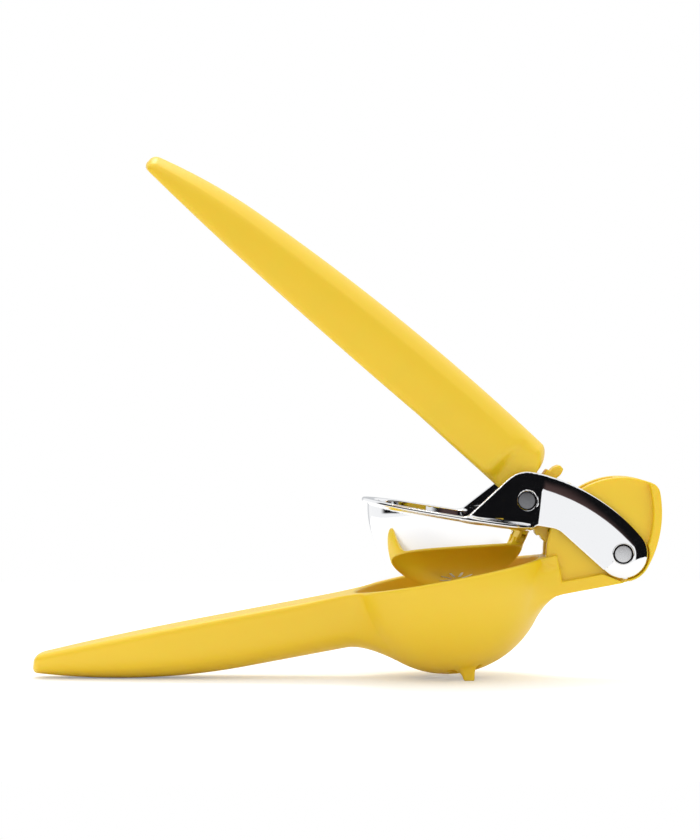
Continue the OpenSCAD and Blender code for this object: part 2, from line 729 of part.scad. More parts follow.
module pivot_cap() {
    rotate([-90, 0, 0]) rotate_extrude() polygon([
        [pin_spigot_r, seat_y], [pin_head_r, seat_y], [pin_head_r, ear_out_y - pin_edge],
        [pin_head_r - pin_edge, ear_out_y], [0, ear_out_y], [0, seat_y + spigot_len],
        [pin_spigot_r, seat_y + spigot_len]]);
}

// ---------------------------------------------------------------- poses

function tilted(p) = [p.x * cos(stance_angle) - p.y * sin(stance_angle),
                      p.x * sin(stance_angle) + p.y * cos(stance_angle)];
function turned(p, about, angle) =
    let (d = p - about)
    about + [d.x * cos(angle) + d.y * sin(angle), d.y * cos(angle) - d.x * sin(angle)];

open_front_pivot = turned(front_pivot, rear_pivot, arm_open);
open_tip_angle = upper_rise + (1 + gear_ratio) * arm_open;
open_tip = turned(open_front_pivot - [upper_reach, 0], open_front_pivot, open_tip_angle);
left_x = min(tilted([-lower_reach, lower_under(-lower_reach)]).x, tilted(open_tip).x);
right_x = tilted(rear_pivot + fan_back_centre).x + fan_back_r;

// Onto the ground, with the middle of the whole tool over the origin
module stand() {
    translate([-(left_x + right_x) / 2, 0, -ground_z]) rotate([0, -stance_angle, 0]) children();
}

// The press arm at its opening, about the rear pivot
module opened() {
    translate([rear_pivot.x, 0, rear_pivot.y]) rotate([0, arm_open, 0])
        translate([-rear_pivot.x, 0, -rear_pivot.y]) children();
}

// From the upper handle's own frame to its place on the arm
module on_front_pivot() {
    translate([front_pivot.x, 0, front_pivot.y])
        rotate([0, upper_rise + gear_ratio * arm_open, 0]) children();
}

module press_cup() {
    color(chrome) press_cup_closed();
}

module upper_handle() {
    color(yellow) on_front_pivot() upper_handle_closed();
}

module front_pivot_pin() {
    color(steel) translate([front_pivot.x, 0, front_pivot.y]) pivot_pin();
}

module front_pivot_cap() {
    color(steel) translate([front_pivot.x, 0, front_pivot.y]) pivot_cap();
}

module rear_pivot_pin() {
    color(steel) translate([rear_pivot.x, 0, rear_pivot.y]) pivot_pin();
}

module rear_pivot_cap() {
    color(steel) translate([rear_pivot.x, 0, rear_pivot.y]) pivot_cap();
}

stand() lower_body();
stand() opened() press_cup();
stand() opened() upper_handle();
stand() opened() front_pivot_pin();
stand() opened() front_pivot_cap();
stand() opened() rear_pivot_pin();
stand() opened() rear_pivot_cap();
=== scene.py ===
"""A hinged lemon squeezer with a geared upper handle, standing open in a white studio.

The three large pieces are modelled as distance fields, in millimetres, and each is turned into
one closed mesh whose vertices lie on the exact surface. The two riveted pins are turned parts.
The side views are drawn in the bowl's own frame: origin on the bowl axis in the plane of the
rim, x towards the hinge and z up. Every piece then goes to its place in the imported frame.
"""

import functools
import json
import logging
import math
from dataclasses import dataclass, field
from typing import Any, Callable

import bmesh
import bpy
import numpy as np
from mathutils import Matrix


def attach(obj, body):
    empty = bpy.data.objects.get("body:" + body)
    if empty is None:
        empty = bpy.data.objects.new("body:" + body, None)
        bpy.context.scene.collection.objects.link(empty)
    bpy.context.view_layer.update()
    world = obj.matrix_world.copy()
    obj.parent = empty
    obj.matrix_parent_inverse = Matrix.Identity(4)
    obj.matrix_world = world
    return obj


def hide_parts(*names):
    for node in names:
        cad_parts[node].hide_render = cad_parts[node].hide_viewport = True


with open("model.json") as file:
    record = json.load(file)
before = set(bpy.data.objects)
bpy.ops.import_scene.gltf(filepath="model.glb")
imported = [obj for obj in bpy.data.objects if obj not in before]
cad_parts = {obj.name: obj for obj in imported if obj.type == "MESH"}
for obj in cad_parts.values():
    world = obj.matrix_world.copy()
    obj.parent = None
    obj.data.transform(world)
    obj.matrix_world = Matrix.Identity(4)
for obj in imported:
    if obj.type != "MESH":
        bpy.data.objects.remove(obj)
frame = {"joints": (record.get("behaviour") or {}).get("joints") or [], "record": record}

LOG = logging.getLogger("squeezer")
MM = 0.001

# Edge of a grid cell of the meshes, in millimetres.
CELL = 0.6

# Play of a pin in its bore, in millimetres, and how both handles' tips bow across their width.
PIN_PLAY = 0.05
TIP_BOW = 0.02

# An offset in millimetres that takes a limit out of play.
NO_LIMIT = 60.0

WHITE = (1, 1, 1, 1)

Array = np.ndarray
Field = Callable[[Array, Array, Array], Array]
Pair = tuple[float, float]
Tree = bpy.types.NodeTree
Socket = bpy.types.NodeSocket


# ------------------------------------------------------------------ distance fields


def meet(a: Array, b: Array, r: Array | float) -> Array:
    """Intersection of two fields, with the edge between them rounded.

    Args:
        a: Distance to the first shape, in millimetres.
        b: Distance to the second shape.
        r: Radius of the rounded edge.

    Returns:
        The distance to what the shapes share.
    """
    corner = np.hypot(np.maximum(a + r, 0.0), np.maximum(b + r, 0.0))
    return np.minimum(-r, np.maximum(a, b)) + corner


def join(a: Array, b: Array, r: Array | float) -> Array:
    """Union of two fields, with a fillet where they meet.

    Args:
        a: Distance to the first shape, in millimetres.
        b: Distance to the second shape.
        r: Radius of the fillet.

    Returns:
        The distance to both shapes together.
    """
    return -meet(-a, -b, r)


def carve(a: Array, b: Array, r: Array | float) -> Array:
    """The first shape with the second cut out of it.

    Args:
        a: Distance to the shape that stays, in millimetres.
        b: Distance to the shape that is cut away.
        r: Radius of the edges of the cut.

    Returns:
        The distance to what is left.
    """
    return meet(a, -b, r)


def shared(*parts: Array) -> Array:
    """Intersection of several fields, with sharp edges."""
    return functools.reduce(np.maximum, parts)


def smooth(t: Array) -> Array:
    """Eases from 0 to 1 as t does, and stays flat outside."""
    t = np.clip(t, 0.0, 1.0)
    return t * t * (3.0 - 2.0 * t)


def ease(t: Array) -> Array:
    """Square of the part of t above zero."""
    return np.square(np.maximum(t, 0.0))


def lerp(a: Array | float, b: Array | float, t: Array | float) -> Array:
    """The value that lies t of the way from a to b."""
    return a + (b - a) * t


def unit(degrees: float) -> Array:
    """Unit vector at an angle in the side view."""
    return np.array([math.cos(math.radians(degrees)), math.sin(math.radians(degrees))])


def from_point(x: Array, z: Array, at: Array | Pair) -> Array:
    """Distance from a point of the drawing."""
    return np.hypot(x - at[0], z - at[1])


def past_line(x: Array, z: Array, at: Array | Pair, degrees: float) -> Array:
    """How far past a point of the drawing, measured in the direction of an angle."""
    way = unit(degrees)
    return (x - at[0]) * way[0] + (z - at[1]) * way[1]


def wedge(r: Array, off_middle: Array, half: float) -> Array:
    """Distance to a wedge about the origin.

    Args:
        r: Distance from the origin.
        off_middle: Angle from the middle of the wedge, in degrees.
        half: Half of the wedge's angle.

    Returns:
        The distance to the nearer side of the wedge.
    """
    return r * np.sin(np.radians(np.clip(np.abs(off_middle) - half, -90, 90)))


@dataclass(frozen=True)
class Placement:
    """Where a piece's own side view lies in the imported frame.

    Attributes:
        degrees: Turn about the tool's cross axis, positive as the tool opens.
        own: A point of the piece's own side view, in millimetres.
        world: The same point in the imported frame's side view, in millimetres.
    """

    degrees: float
    own: Pair
    world: Pair

    def to_frame(self, points: Array) -> Array:
        """Points of the piece, in millimetres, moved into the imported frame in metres."""
        c, s = unit(self.degrees)
        dx, dz = points[:, 0] - self.own[0], points[:, 2] - self.own[1]
        return MM * np.column_stack(
            [self.world[0] + dx * c + dz * s, points[:, 1], self.world[1] - dx * s + dz * c]
        )

    def turn(self, vectors: Array) -> Array:
        """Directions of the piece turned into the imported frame."""
        c, s = unit(self.degrees)
        return np.column_stack(
            [vectors[:, 0] * c + vectors[:, 2] * s, vectors[:, 1], vectors[:, 2] * c - vectors[:, 0] * s]
        )


# ------------------------------------------------------------------ meshing


def settle(obj: bpy.types.Object) -> None:
    """Turns an object's modifiers into its mesh."""
    graph = bpy.context.evaluated_depsgraph_get()
    made = bpy.data.meshes.new_from_object(obj.evaluated_get(graph))
    obj.modifiers.clear()
    old, obj.data = obj.data, made
    bpy.data.meshes.remove(old)
    made.name = obj.name


def new_object(name: str, data: bpy.types.ID) -> bpy.types.Object:
    """Adds an object with a mesh, a camera or a lamp to the scene."""
    obj = bpy.data.objects.new(name, data)
    bpy.context.scene.collection.objects.link(obj)
    return obj


def coordinates(mesh: bpy.types.Mesh) -> Array:
    """A mesh's points as an array."""
    out = np.zeros(len(mesh.vertices) * 3)
    mesh.vertices.foreach_get("co", out)
    return out.reshape(-1, 3)


def put(mesh: bpy.types.Mesh, points: Array, place: Placement) -> None:
    """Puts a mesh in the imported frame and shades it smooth.

    Args:
        mesh: The mesh.
        points: Its points in the piece's own frame, in millimetres.
        place: Where the piece lies.
    """
    mesh.vertices.foreach_set("co", place.to_frame(points).ravel())
    mesh.polygons.foreach_set("use_smooth", np.ones(len(mesh.polygons), bool))


def lattice(*axes: Any) -> Array:
    """Every combination of the places on three axes, one a row."""
    return np.stack(np.meshgrid(*axes, indexing="ij"), -1).reshape(-1, 3)


CORNERS = lattice((0, 1), (0, 1), (0, 1))


@dataclass(frozen=True)
class Mesher:
    """Turns a distance field into a closed mesh.

    Attributes:
        cell: Edge of a grid cell, in millimetres.
        budget: Most triangles that a piece may have.
        reach: Cells per block at each step of the search for the surface.
        margin: How far a block's middle may be from the surface, in widths of the block.
        run: Points measured at a time, few enough to stay in the processor's cache.
        step: Reach of the probes that measure a slope, in millimetres.
        least_slope: Slope that a flatter field is taken to have.
    """

    cell: float
    budget: int = 190_000
    reach: tuple[int, ...] = (16, 4)
    margin: float = 1.5
    run: int = 1 << 15
    step: float = 0.02
    least_slope: float = 0.2

    def build(self, name: str, shape: Field, low: Array, high: Array, place: Placement) -> bpy.types.Object:
        """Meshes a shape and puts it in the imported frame.

        Args:
            name: Name of the new object.
            shape: The distance field, in millimetres.
            low: Lowest corner of a box round the shape.
            high: Highest corner of that box.
            place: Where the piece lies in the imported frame.

        Returns:
            The new object, with its place in its mesh.
        """
        cells, corner_values, counts = self._surface_cells(shape, low, high)
        points, quads = self._nets(cells, corner_values, counts, low)
        points = self._on_surface(shape, points)
        obj = self._object(name, points, quads)
        triangles = 2 * len(quads)
        if triangles > self.budget:
            self._thin(obj, self.budget / triangles)
            points = coordinates(obj.data)
        points = self._on_surface(shape, points)
        normals = place.turn(self._gradient(shape, points)[1])
        put(obj.data, points, place)
        obj.data.normals_split_custom_set_from_vertices(normals.tolist())
        obj.data.update()
        return obj

    def _evaluate(self, shape: Field, points: Array) -> Array:
        """The field at many points."""
        starts = range(0, len(points), self.run)
        return np.concatenate([shape(*points[i : i + self.run].T) for i in starts] or [np.zeros(0)])

    def _surface_cells(self, shape: Field, low: Array, high: Array) -> tuple[Array, Array, Array]:
        """Finds the grid cells that the surface passes through.

        Args:
            shape: The distance field.
            low: Lowest corner of the box.
            high: Highest corner of the box.

        Returns:
            The cells' indices, the field at their eight corners, and the grid's size in cells.
        """
        counts = np.ceil((high - low) / self.cell / self.reach[0]).astype(int) * self.reach[0]
        axes = [np.arange(0, n, self.reach[0]) for n in counts]
        cells = lattice(*axes)
        for i, width in enumerate(self.reach):
            centres = low + (cells + width / 2) * self.cell
            near = np.abs(self._evaluate(shape, centres)) < width * self.cell * self.margin
            child = self.reach[i + 1] if i + 1 < len(self.reach) else 1
            steps = np.arange(0, width, child)
            cells = (cells[near][:, None, :] + lattice(steps, steps, steps)).reshape(-1, 3)
        grid = counts + 1
        keys = [np.ravel_multi_index((cells + corner).T, grid) for corner in CORNERS]
        values = np.full(int(grid.prod()), np.nan)
        wanted = np.zeros(len(values), bool)
        for key in keys:
            wanted[key] = True
        wanted = np.flatnonzero(wanted)
        sites = np.column_stack(np.unravel_index(wanted, grid))
        values[wanted] = self._evaluate(shape, low + sites * self.cell)
        at_corners = np.column_stack([values[key] for key in keys])
        inside = at_corners < 0
        crossed = inside.any(1) & ~inside.all(1)
        return cells[crossed], at_corners[crossed], counts

    def _nets(self, cells: Array, values: Array, counts: Array, low: Array) -> tuple[Array, Array]:
        """One point in each crossed cell, and a face across each crossed edge of the grid.

        Args:
            cells: Indices of the crossed cells.
            values: The field at each cell's eight corners.
            counts: Size of the grid in cells.
            low: Lowest corner of the grid.

        Returns:
            The points, and the faces as rows of four point numbers.
        """
        total, hits = np.zeros((len(cells), 3)), np.zeros(len(cells))
        for a in range(8):
            for b in range(a + 1, 8):
                if np.abs(CORNERS[a] - CORNERS[b]).sum() != 1:
                    continue
                va, vb = values[:, a], values[:, b]
                crossing = (va < 0) != (vb < 0)
                t = np.where(crossing, va / np.where(crossing, va - vb, 1.0), 0.0)
                total += crossing[:, None] * (CORNERS[a] + t[:, None] * (CORNERS[b] - CORNERS[a]))
                hits += crossing
        points = low + (cells + total / hits[:, None]) * self.cell
        number = np.full(int(counts.prod()), -1)
        number[np.ravel_multi_index(cells.T, counts)] = np.arange(len(cells))
        faces = []
        for axis in range(3):
            one, two = (axis + 1) % 3, (axis + 2) % 3
            end = 4 >> axis
            crossing = (values[:, 0] < 0) != (values[:, end] < 0)
            ring = []
            for back_one, back_two in ((0, 0), (1, 0), (1, 1), (0, 1)):
                cell = cells[crossing].copy()
                cell[:, one] -= back_one
                cell[:, two] -= back_two
                ring.append(number[np.ravel_multi_index(cell.T, counts)])
            quad = np.column_stack(ring)
            flip = values[crossing, 0] >= 0
            quad[flip] = quad[flip][:, ::-1]
            faces.append(quad)
        return points, np.vstack(faces)

    def _gradient(self, shape: Field, points: Array) -> tuple[Array, Array]:
        """The field and its slope at each point.

        Args:
            shape: The distance field.
            points: Where to measure it.

        Returns:
            The mean distance, and the unit normals.
        """
        total, slope = np.zeros(len(points)), np.zeros((len(points), 3))
        for direction in np.array([[1, -1, -1], [-1, -1, 1], [-1, 1, -1], [1, 1, 1]], float):
            value = self._evaluate(shape, points + self.step * direction)
            total += value / 4
            slope += value[:, None] * direction / (4 * self.step)
        length = np.maximum(np.linalg.norm(slope, axis=1, keepdims=True), self.least_slope)
        return total / length[:, 0], slope / length

    def _on_surface(self, shape: Field, points: Array) -> Array:
        """Moves points along the field's slope until they lie on the surface."""
        for _ in range(2):
            distance, normal = self._gradient(shape, points)
            points = points - normal * np.clip(distance, -self.cell, self.cell)[:, None]
        return points

    @staticmethod
    def _object(name: str, points: Array, quads: Array) -> bpy.types.Object:
        """A mesh object from arrays of points and four-sided faces."""
        mesh = bpy.data.meshes.new(name)
        mesh.vertices.add(len(points))
        mesh.vertices.foreach_set("co", points.ravel())
        mesh.loops.add(quads.size)
        mesh.loops.foreach_set("vertex_index", quads.ravel())
        mesh.polygons.add(len(quads))
        mesh.polygons.foreach_set("loop_start", np.arange(0, quads.size, 4))
        mesh.update(calc_edges=True)
        return new_object(name, mesh)

    @staticmethod
    def _thin(obj: bpy.types.Object, share: float) -> None:
        """Merges faces where the surface is flattest, down to a share of them."""
        obj.modifiers.new("thin", "DECIMATE").ratio = share
        settle(obj)


# ------------------------------------------------------------------ the tool's main lines


@dataclass(frozen=True)
class Gear:
    """One of the two meshing gears, with 20 degree involute teeth.

    Attributes:
        teeth: Teeth on the full circle.
        module: Pitch diameter over the number of teeth, in millimetres.
        play: Cut taken off each tooth's thickness.
        pressure: Pressure angle, in radians.
        addendum: Height of a tooth over the pitch circle, in modules.
    """

    teeth: int
    module: float = 2.8
    play: float = 0.12
    pressure: float = math.radians(20.0)
    addendum: float = 0.8

    @property
    def pitch_r(self) -> float:
        """Radius of the pitch circle."""
        return self.module * self.teeth / 2

    @property
    def root_r(self) -> float:
        """Radius at the foot of the teeth."""
        return self.pitch_r - self.module

    @property
    def tip_r(self) -> float:
        """Radius over the teeth."""
        return self.pitch_r + self.addendum * self.module

    @property
    def pitch(self) -> float:
        """Angle from one tooth to the next, in degrees."""
        return 360.0 / self.teeth

    def tooth(self, r: Array, off_axis: Array, r_edge: float) -> Array:
        """Distance to a tooth.

        Args:
            r: Distance from the gear's axis.
            off_axis: Angle from the middle of the nearest tooth, in degrees.
            r_edge: Radius of the edges of the tooth's tip.

        Returns:
            The distance to the tooth, seen from the side.
        """
        base_r = self.pitch_r * math.cos(self.pressure)
        at = np.arccos(np.clip(base_r / np.maximum(r, base_r), -1, 1))
        involute = np.tan(at) - at
        half = (
            math.pi / 2 / self.teeth
            - self.play / 2 / self.pitch_r
            + math.tan(self.pressure)
            - self.pressure
            - involute
        )
        flank = r * np.sin(np.radians(np.abs(off_axis)) - half) * math.cos(self.pressure)
        return meet(flank, r - self.tip_r, r_edge)


@dataclass(frozen=True)
class Layout:
    """The main lines that the pieces share, in millimetres and degrees, in the bowl's frame."""

    stance: float = 10.6
    bowl_inner_r: float = 42.0
    bowl_wall: float = 2.9
    pivot_reach: float = 33.6
    rear_drop: float = 4.7
    front_rise: float = 11.7
    fan_half_w: float = 12.0
    side_gap: float = 0.3
    ear_t: float = 3.4
    pin_r: float = 3.0
    head_t: float = 1.6
    handle_half_w: float = 16.0
    tip_half_w: float = 9.0
    plan_len: float = 75.0
    upper_rise: float = 2.8
    last_tooth: float = -1.8
    gear_half_w: float = 6.5
    slot_half_w: float = 6.75
    handle_gear: Gear = field(default_factory=lambda: Gear(14))
    fan_gear: Gear = field(default_factory=lambda: Gear(21))

    @property
    def bowl_outer_r(self) -> float:
        """Outside radius of the bowl."""
        return self.bowl_inner_r + self.bowl_wall

    @property
    def rear(self) -> Array:
        """The rear pivot."""
        return np.array([self.bowl_outer_r + self.pivot_reach, -self.rear_drop])

    @property
    def front(self) -> Array:
        """The front pivot, closed."""
        rise = self.front_rise + self.rear_drop
        span = self.handle_gear.pitch_r + self.fan_gear.pitch_r
        return np.array([self.rear[0] - math.sqrt(span**2 - rise**2), self.front_rise])

    @property
    def line_angle(self) -> float:
        """Angle of the line from the rear pivot to the front one, closed."""
        d = self.front - self.rear
        return math.degrees(math.atan2(d[1], d[0]))

    @property
    def ear_out(self) -> float:
        """Outside of an ear, from the middle plane."""
        return self.fan_half_w + self.side_gap + self.ear_t

    @property
    def seat_y(self) -> float:
        """Seat of a pin's head, from the middle plane."""
        return self.ear_out - self.head_t

    def handle_half(self, from_tip: Array) -> Array:
        """Half the width of either handle at a distance from its tip."""
        taper = ease(1 - from_tip / self.plan_len)
        return self.handle_half_w - (self.handle_half_w - self.tip_half_w) * taper


@dataclass(frozen=True)
class Stand:
    """How the open tool stands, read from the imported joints.

    Attributes:
        layout: The tool's main lines.
        rear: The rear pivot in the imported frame, in millimetres.
        front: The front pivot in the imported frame.
        opened: How far the press is open at rest, in degrees.
        ratio: Turn of the upper handle on the press for each degree of the press.
    """

    layout: Layout
    rear: Pair
    front: Pair
    opened: float
    ratio: float

    @classmethod
    def read(cls, layout: Layout) -> "Stand":
        """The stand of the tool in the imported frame.

        Args:
            layout: The tool's main lines.

        Returns:
            The pivots, the opening at rest and the gear ratio.
        """
        joints = {joint["name"]: joint for joint in frame["joints"]}
        press, handle = joints["press hinge"], joints["handle hinge"]
        coupling = frame["record"]["behaviour"]["couplings"][0]
        side = [tuple(1000 * joint["pos_m"][i] for i in (0, 2)) for joint in (press, handle)]
        return cls(layout, side[0], side[1], -press["range_deg"][0], coupling["ratio"])

    def lower(self) -> Placement:
        """Place of the lower body."""
        return Placement(-self.layout.stance, tuple(self.layout.rear), self.rear)

    def press(self) -> Placement:
        """Place of the press."""
        return Placement(self.opened - self.layout.stance, tuple(self.layout.rear), self.rear)

    def handle(self) -> Placement:
        """Place of the upper handle, whose own origin is the front pivot."""
        turn = self.layout.upper_rise + (1 + self.ratio) * self.opened - self.layout.stance
        return Placement(turn, (0.0, 0.0), self.front)


# ------------------------------------------------------------------ materials


def linear(hex_colour: str) -> tuple[float, float, float, float]:
    """Turns an sRGB colour into the linear values that a shader takes.

    Args:
        hex_colour: Six hexadecimal digits.

    Returns:
        Red, green, blue and an alpha of one.
    """
    parts = [int(hex_colour[i : i + 2], 16) / 255 for i in (0, 2, 4)]
    return (*(c / 12.92 if c <= 0.04045 else ((c + 0.055) / 1.055) ** 2.4 for c in parts), 1.0)


def add_node(tree: Tree, kind: str, **given: Any) -> bpy.types.Node:
    """Adds a node with its settings and links.

    Args:
        tree: The node tree.
        kind: The node's type.
        **given: Node properties by name, and inputs under "inputs": a dict from a socket's name
            or number to a value, or to a socket that it is linked from.

    Returns:
        The new node.
    """
    node = tree.nodes.new(kind)
    inputs = given.pop("inputs", {})
    for key, value in given.items():
        setattr(node, key, value)
    for key, value in inputs.items():
        if isinstance(value, Socket):
            tree.links.new(value, node.inputs[key])
        else:
            node.inputs[key].default_value = value
    return node


def maths(tree: Tree, operation: str, *values: Any) -> Socket:
    """The result of an operation on numbers or sockets."""
    return add_node(tree, "ShaderNodeMath", operation=operation, inputs=dict(enumerate(values))).outputs[0]


def blend(tree: Tree, share: Socket, a: Any, b: Any) -> Socket:
    """The colour that lies a share of the way from a to b, which are colours or sockets."""
    return add_node(tree, "ShaderNodeMix", data_type="RGBA", inputs={0: share, 6: a, 7: b}).outputs[2]


def remap(
    tree: Tree, value: Socket, given: Pair = (0, 1), made: Pair = (0, 1), way: str = "LINEAR"
) -> Socket:
    """Takes a value from one range to another, and no further.

    Args:
        tree: The node tree.
        value: The value.
        given: Where it starts and ends.
        made: What it becomes there.
        way: How it runs between them.

    Returns:
        The new value.
    """
    inputs = dict(enumerate((value, *given, *made)))
    return add_node(tree, "ShaderNodeMapRange", interpolation_type=way, inputs=inputs).outputs[0]


def split(tree: Tree, vector: Socket) -> list[Socket]:
    """A vector's three parts."""
    return list(add_node(tree, "ShaderNodeSeparateXYZ", inputs={0: vector}).outputs)


@dataclass(frozen=True)
class Finish:
    """A finish of one of the tool's pieces; each kind says how its surface is made up.

    Attributes:
        name: Name of the material.
    """

    name: str

    def material(self) -> bpy.types.Material:
        """The finished material, made once."""
        known = bpy.data.materials.get(self.name)
        if known:
            return known
        made = bpy.data.materials.new(self.name)
        made.use_nodes = True
        tree = made.node_tree
        tree.nodes.clear()
        where = add_node(tree, "ShaderNodeTexCoord").outputs["Object"]
        surface = add_node(tree, "ShaderNodeBsdfPrincipled", inputs=self.surface(tree, where))
        add_node(tree, "ShaderNodeOutputMaterial", inputs={"Surface": surface.outputs[0]})
        return made

    def surface(self, tree: Tree, where: Socket) -> dict[str, Any]:
        """Adds the finish's pattern.

        Args:
            tree: The material's node tree.
            where: Position on the piece, in metres.

        Returns:
            The surface's settings by name.
        """
        raise NotImplementedError

    @staticmethod
    def spots(tree: Tree, where: Socket, size: float, detail: float, roughness: float = 0.5) -> Socket:
        """Soft random spots.

        Args:
            tree: The material's node tree.
            where: Position on the piece, in metres.
            size: Width of a spot, in millimetres.
            detail: How many finer sizes are laid over it.
            roughness: Strength of each finer size.

        Returns:
            A value from 0 to 1.
        """
        inputs = {"Vector": where, "Scale": 1 / (size * MM), "Detail": detail, "Roughness": roughness}
        return add_node(tree, "ShaderNodeTexNoise", inputs=inputs).outputs["Fac"]

    @staticmethod
    def relief(tree: Tree, height: Socket, strength: float, depth: float) -> Socket:
        """The way that a surface faces when a pattern raises it by up to a depth in millimetres."""
        inputs = {"Height": height, "Strength": strength, "Distance": depth * MM}
        return add_node(tree, "ShaderNodeBump", inputs=inputs).outputs[0]


@dataclass(frozen=True)
class MouldedNylon(Finish):
    """Glass-filled nylon from a finely eroded mould."""

    # To the eye: one solid warm yellow with a broad soft gloss, a little deeper where light sinks in.
    colour: str = "ECC910"
    shade: str = "E9C20A"
    cloud: float = 40.0
    grain: float = 0.7
    roughness: Pair = (0.36, 0.46)
    grain_relief: Pair = (0.12, 0.05)
    glow: float = 0.3
    glow_reach: tuple[float, float, float] = (0.006, 0.003, 0.0004)

    def surface(self, tree: Tree, where: Socket) -> dict[str, Any]:
        """Adds the nylon's clouds and grain."""
        grain = self.spots(tree, where, self.grain, 2.0)
        cloud = self.spots(tree, where, self.cloud, 3.0)
        return {
            "Base Color": blend(tree, cloud, linear(self.shade), linear(self.colour)),
            "Roughness": remap(tree, grain, made=self.roughness),
            "Normal": self.relief(tree, grain, *self.grain_relief),
            "IOR": 1.53,
            "Specular IOR Level": 0.7,
            "Subsurface Weight": self.glow,
            "Subsurface Radius": self.glow_reach,
            "Subsurface Scale": 1.0,
        }


@dataclass(frozen=True)
class PolishedChrome(Finish):
    """Die casting polished by hand and chromed."""

    # To the eye: black and white shapes of the room, bent where the metal bends, and hardly any colour
    # of its own.
    colour: str = "F1F2F4"
    wave: float = 7.0
    haze: float = 2.0
    roughness: Pair = (0.02, 0.07)
    wave_relief: Pair = (0.25, 0.04)

    def surface(self, tree: Tree, where: Socket) -> dict[str, Any]:
        """Adds the chrome's haze and the long waviness of hand polishing."""
        haze = self.spots(tree, where, self.haze, 4.0)
        wave = self.spots(tree, where, self.wave, 1.0)
        return {
            "Base Color": linear(self.colour),
            "Metallic": 1.0,
            "Roughness": remap(tree, haze, made=self.roughness),
            "Normal": self.relief(tree, wave, *self.wave_relief),
        }


@dataclass(frozen=True)
class TurnedSteel(Finish):
    """Stainless steel bar, turned and spun down."""

    # To the eye: plain grey discs with fine marks and a painted dark line of shadow round them; the rear pair
    # is painted brighter, as a painted reflection.
    colour: str = "8E8F92"
    dark: str = "58595C"
    # Painted reflection: the rear pins are painted in these brighter tones.
    rear_reflection: str = "DCDDDF"
    rear_reflection_dark: str = "BBBCBF"
    rear_reflection_from: Pair = (0.095, 0.105)
    # Painted shadow: a dark ring at this distance from the axis, on each head's rounded edge.
    gap_shadow: str = "1C1C1E"
    gap_shadow_from: Pair = (3.55, 3.85)
    mark: float = 0.5
    roughness: Pair = (0.16, 0.32)
    mark_relief: Pair = (0.3, 0.03)

    def surface(self, tree: Tree, where: Socket) -> dict[str, Any]:
        """Adds the steel's marks, the painted reflection that makes the rear pins brighter and the painted
        shadow at the heads' edges.
        """
        marks = self.spots(tree, where, self.mark, 5.0, 0.6)
        # Painted reflection: the pins past this x, the rear ones, take the brighter painted tones.
        rear = remap(tree, split(tree, where)[0], self.rear_reflection_from)
        front_tone = blend(tree, marks, linear(self.dark), linear(self.colour))
        rear_reflected = blend(tree, marks, linear(self.rear_reflection_dark), linear(self.rear_reflection))
        # Painted shadow: each head is painted dark towards its rounded edge.
        from_axis = add_node(tree, "ShaderNodeAttribute", attribute_name="from_axis").outputs["Fac"]
        edge = remap(tree, from_axis, self.gap_shadow_from)
        return {
            "Base Color": blend(tree, edge, blend(tree, rear, front_tone, rear_reflected), linear(self.gap_shadow)),
            "Metallic": 1.0,
            "Roughness": remap(tree, marks, made=self.roughness),
            "Normal": self.relief(tree, marks, *self.mark_relief),
        }


# ------------------------------------------------------------------ repeated parts


class Recipe:
    """A geometry node tree with named inputs for its sizes, which are in millimetres.

    Attributes:
        name: Name of the tree.
        sizes: Each input's name and the type of its socket.
        crease: Angle from which an edge is shaded sharp, in degrees.
    """

    name: str
    sizes: dict[str, str]
    crease: float = 35.0

    def __init__(self) -> None:
        """Builds the tree."""
        self.tree = bpy.data.node_groups.new(self.name, "GeometryNodeTree")
        sockets = self.tree.interface
        sockets.new_socket("Geometry", in_out="OUTPUT", socket_type="NodeSocketGeometry")
        wanted = {"Geometry": "Geometry", "Finish": "Material", **self.sizes}
        for label, kind in wanted.items():
            sockets.new_socket(label, in_out="INPUT", socket_type="NodeSocket" + kind)
        given = add_node(self.tree, "NodeGroupInput").outputs
        real = self.step("RealizeInstances", {0: self.grow(given)})
        done = self.step("SetMaterial", {"Geometry": real, "Material": given["Finish"]})
        add_node(self.tree, "NodeGroupOutput", inputs={0: done})

    def step(self, kind: str, inputs: dict[Any, Any], **settings: Any) -> Socket:
        """Adds a geometry node.

        Args:
            kind: The node's type, without its prefix.
            inputs: Its inputs.
            **settings: Its properties.

        Returns:
            Its first output.
        """
        return add_node(self.tree, "GeometryNode" + kind, inputs=inputs, **settings).outputs[0]

    def copies(self, count: Any, start: Socket, end: Socket, **inputs: Any) -> Socket:
        """Copies of a shape, evenly spaced on a straight line.

        Args:
            count: How many.
            start: Where the first one is.
            end: Where the last one is.
            **inputs: The shape under Instance, and its Rotation or Scale.

        Returns:
            The copies.
        """
        ends = {"Count": count, "Start Location": start, "Offset": end}
        line = self.step("MeshLine", ends, mode="END_POINTS")
        return self.step("InstanceOnPoints", {"Points": line, **inputs})

    def grow(self, given: Any) -> Socket:
        """Adds the nodes that make the part.

        Args:
            given: The tree's inputs, by name.

        Returns:
            The part, as instances.
        """
        raise NotImplementedError

    def make(
        self, name: str, mesh: bpy.types.Mesh, finish: Finish, place: Placement, **sizes: Any
    ) -> bpy.types.Object:
        """Runs the tree on a mesh and keeps the result as a plain mesh.

        Args:
            name: Name of the new object.
            mesh: The mesh that the tree starts from, in the piece's own frame in millimetres.
            finish: Finish of the part.
            place: Where the part's own frame lies.
            **sizes: The tree's inputs, with low lines for the spaces in their names.

        Returns:
            The new object, with its place in its mesh.
        """
        obj = new_object(name, mesh)
        modifier = obj.modifiers.new(self.name, "NODES")
        modifier.node_group = self.tree
        values = {"Finish": finish.material()}
        values.update((label.replace("_", " "), value) for label, value in sizes.items())
        for item in self.tree.interface.items_tree:
            if item.in_out == "INPUT" and item.name in values:
                modifier[item.identifier] = values[item.name]
        settle(obj)
        put(obj.data, coordinates(obj.data), place)
        obj.data.set_sharp_from_angle(angle=math.radians(self.crease))
        obj.data.update()
        return obj


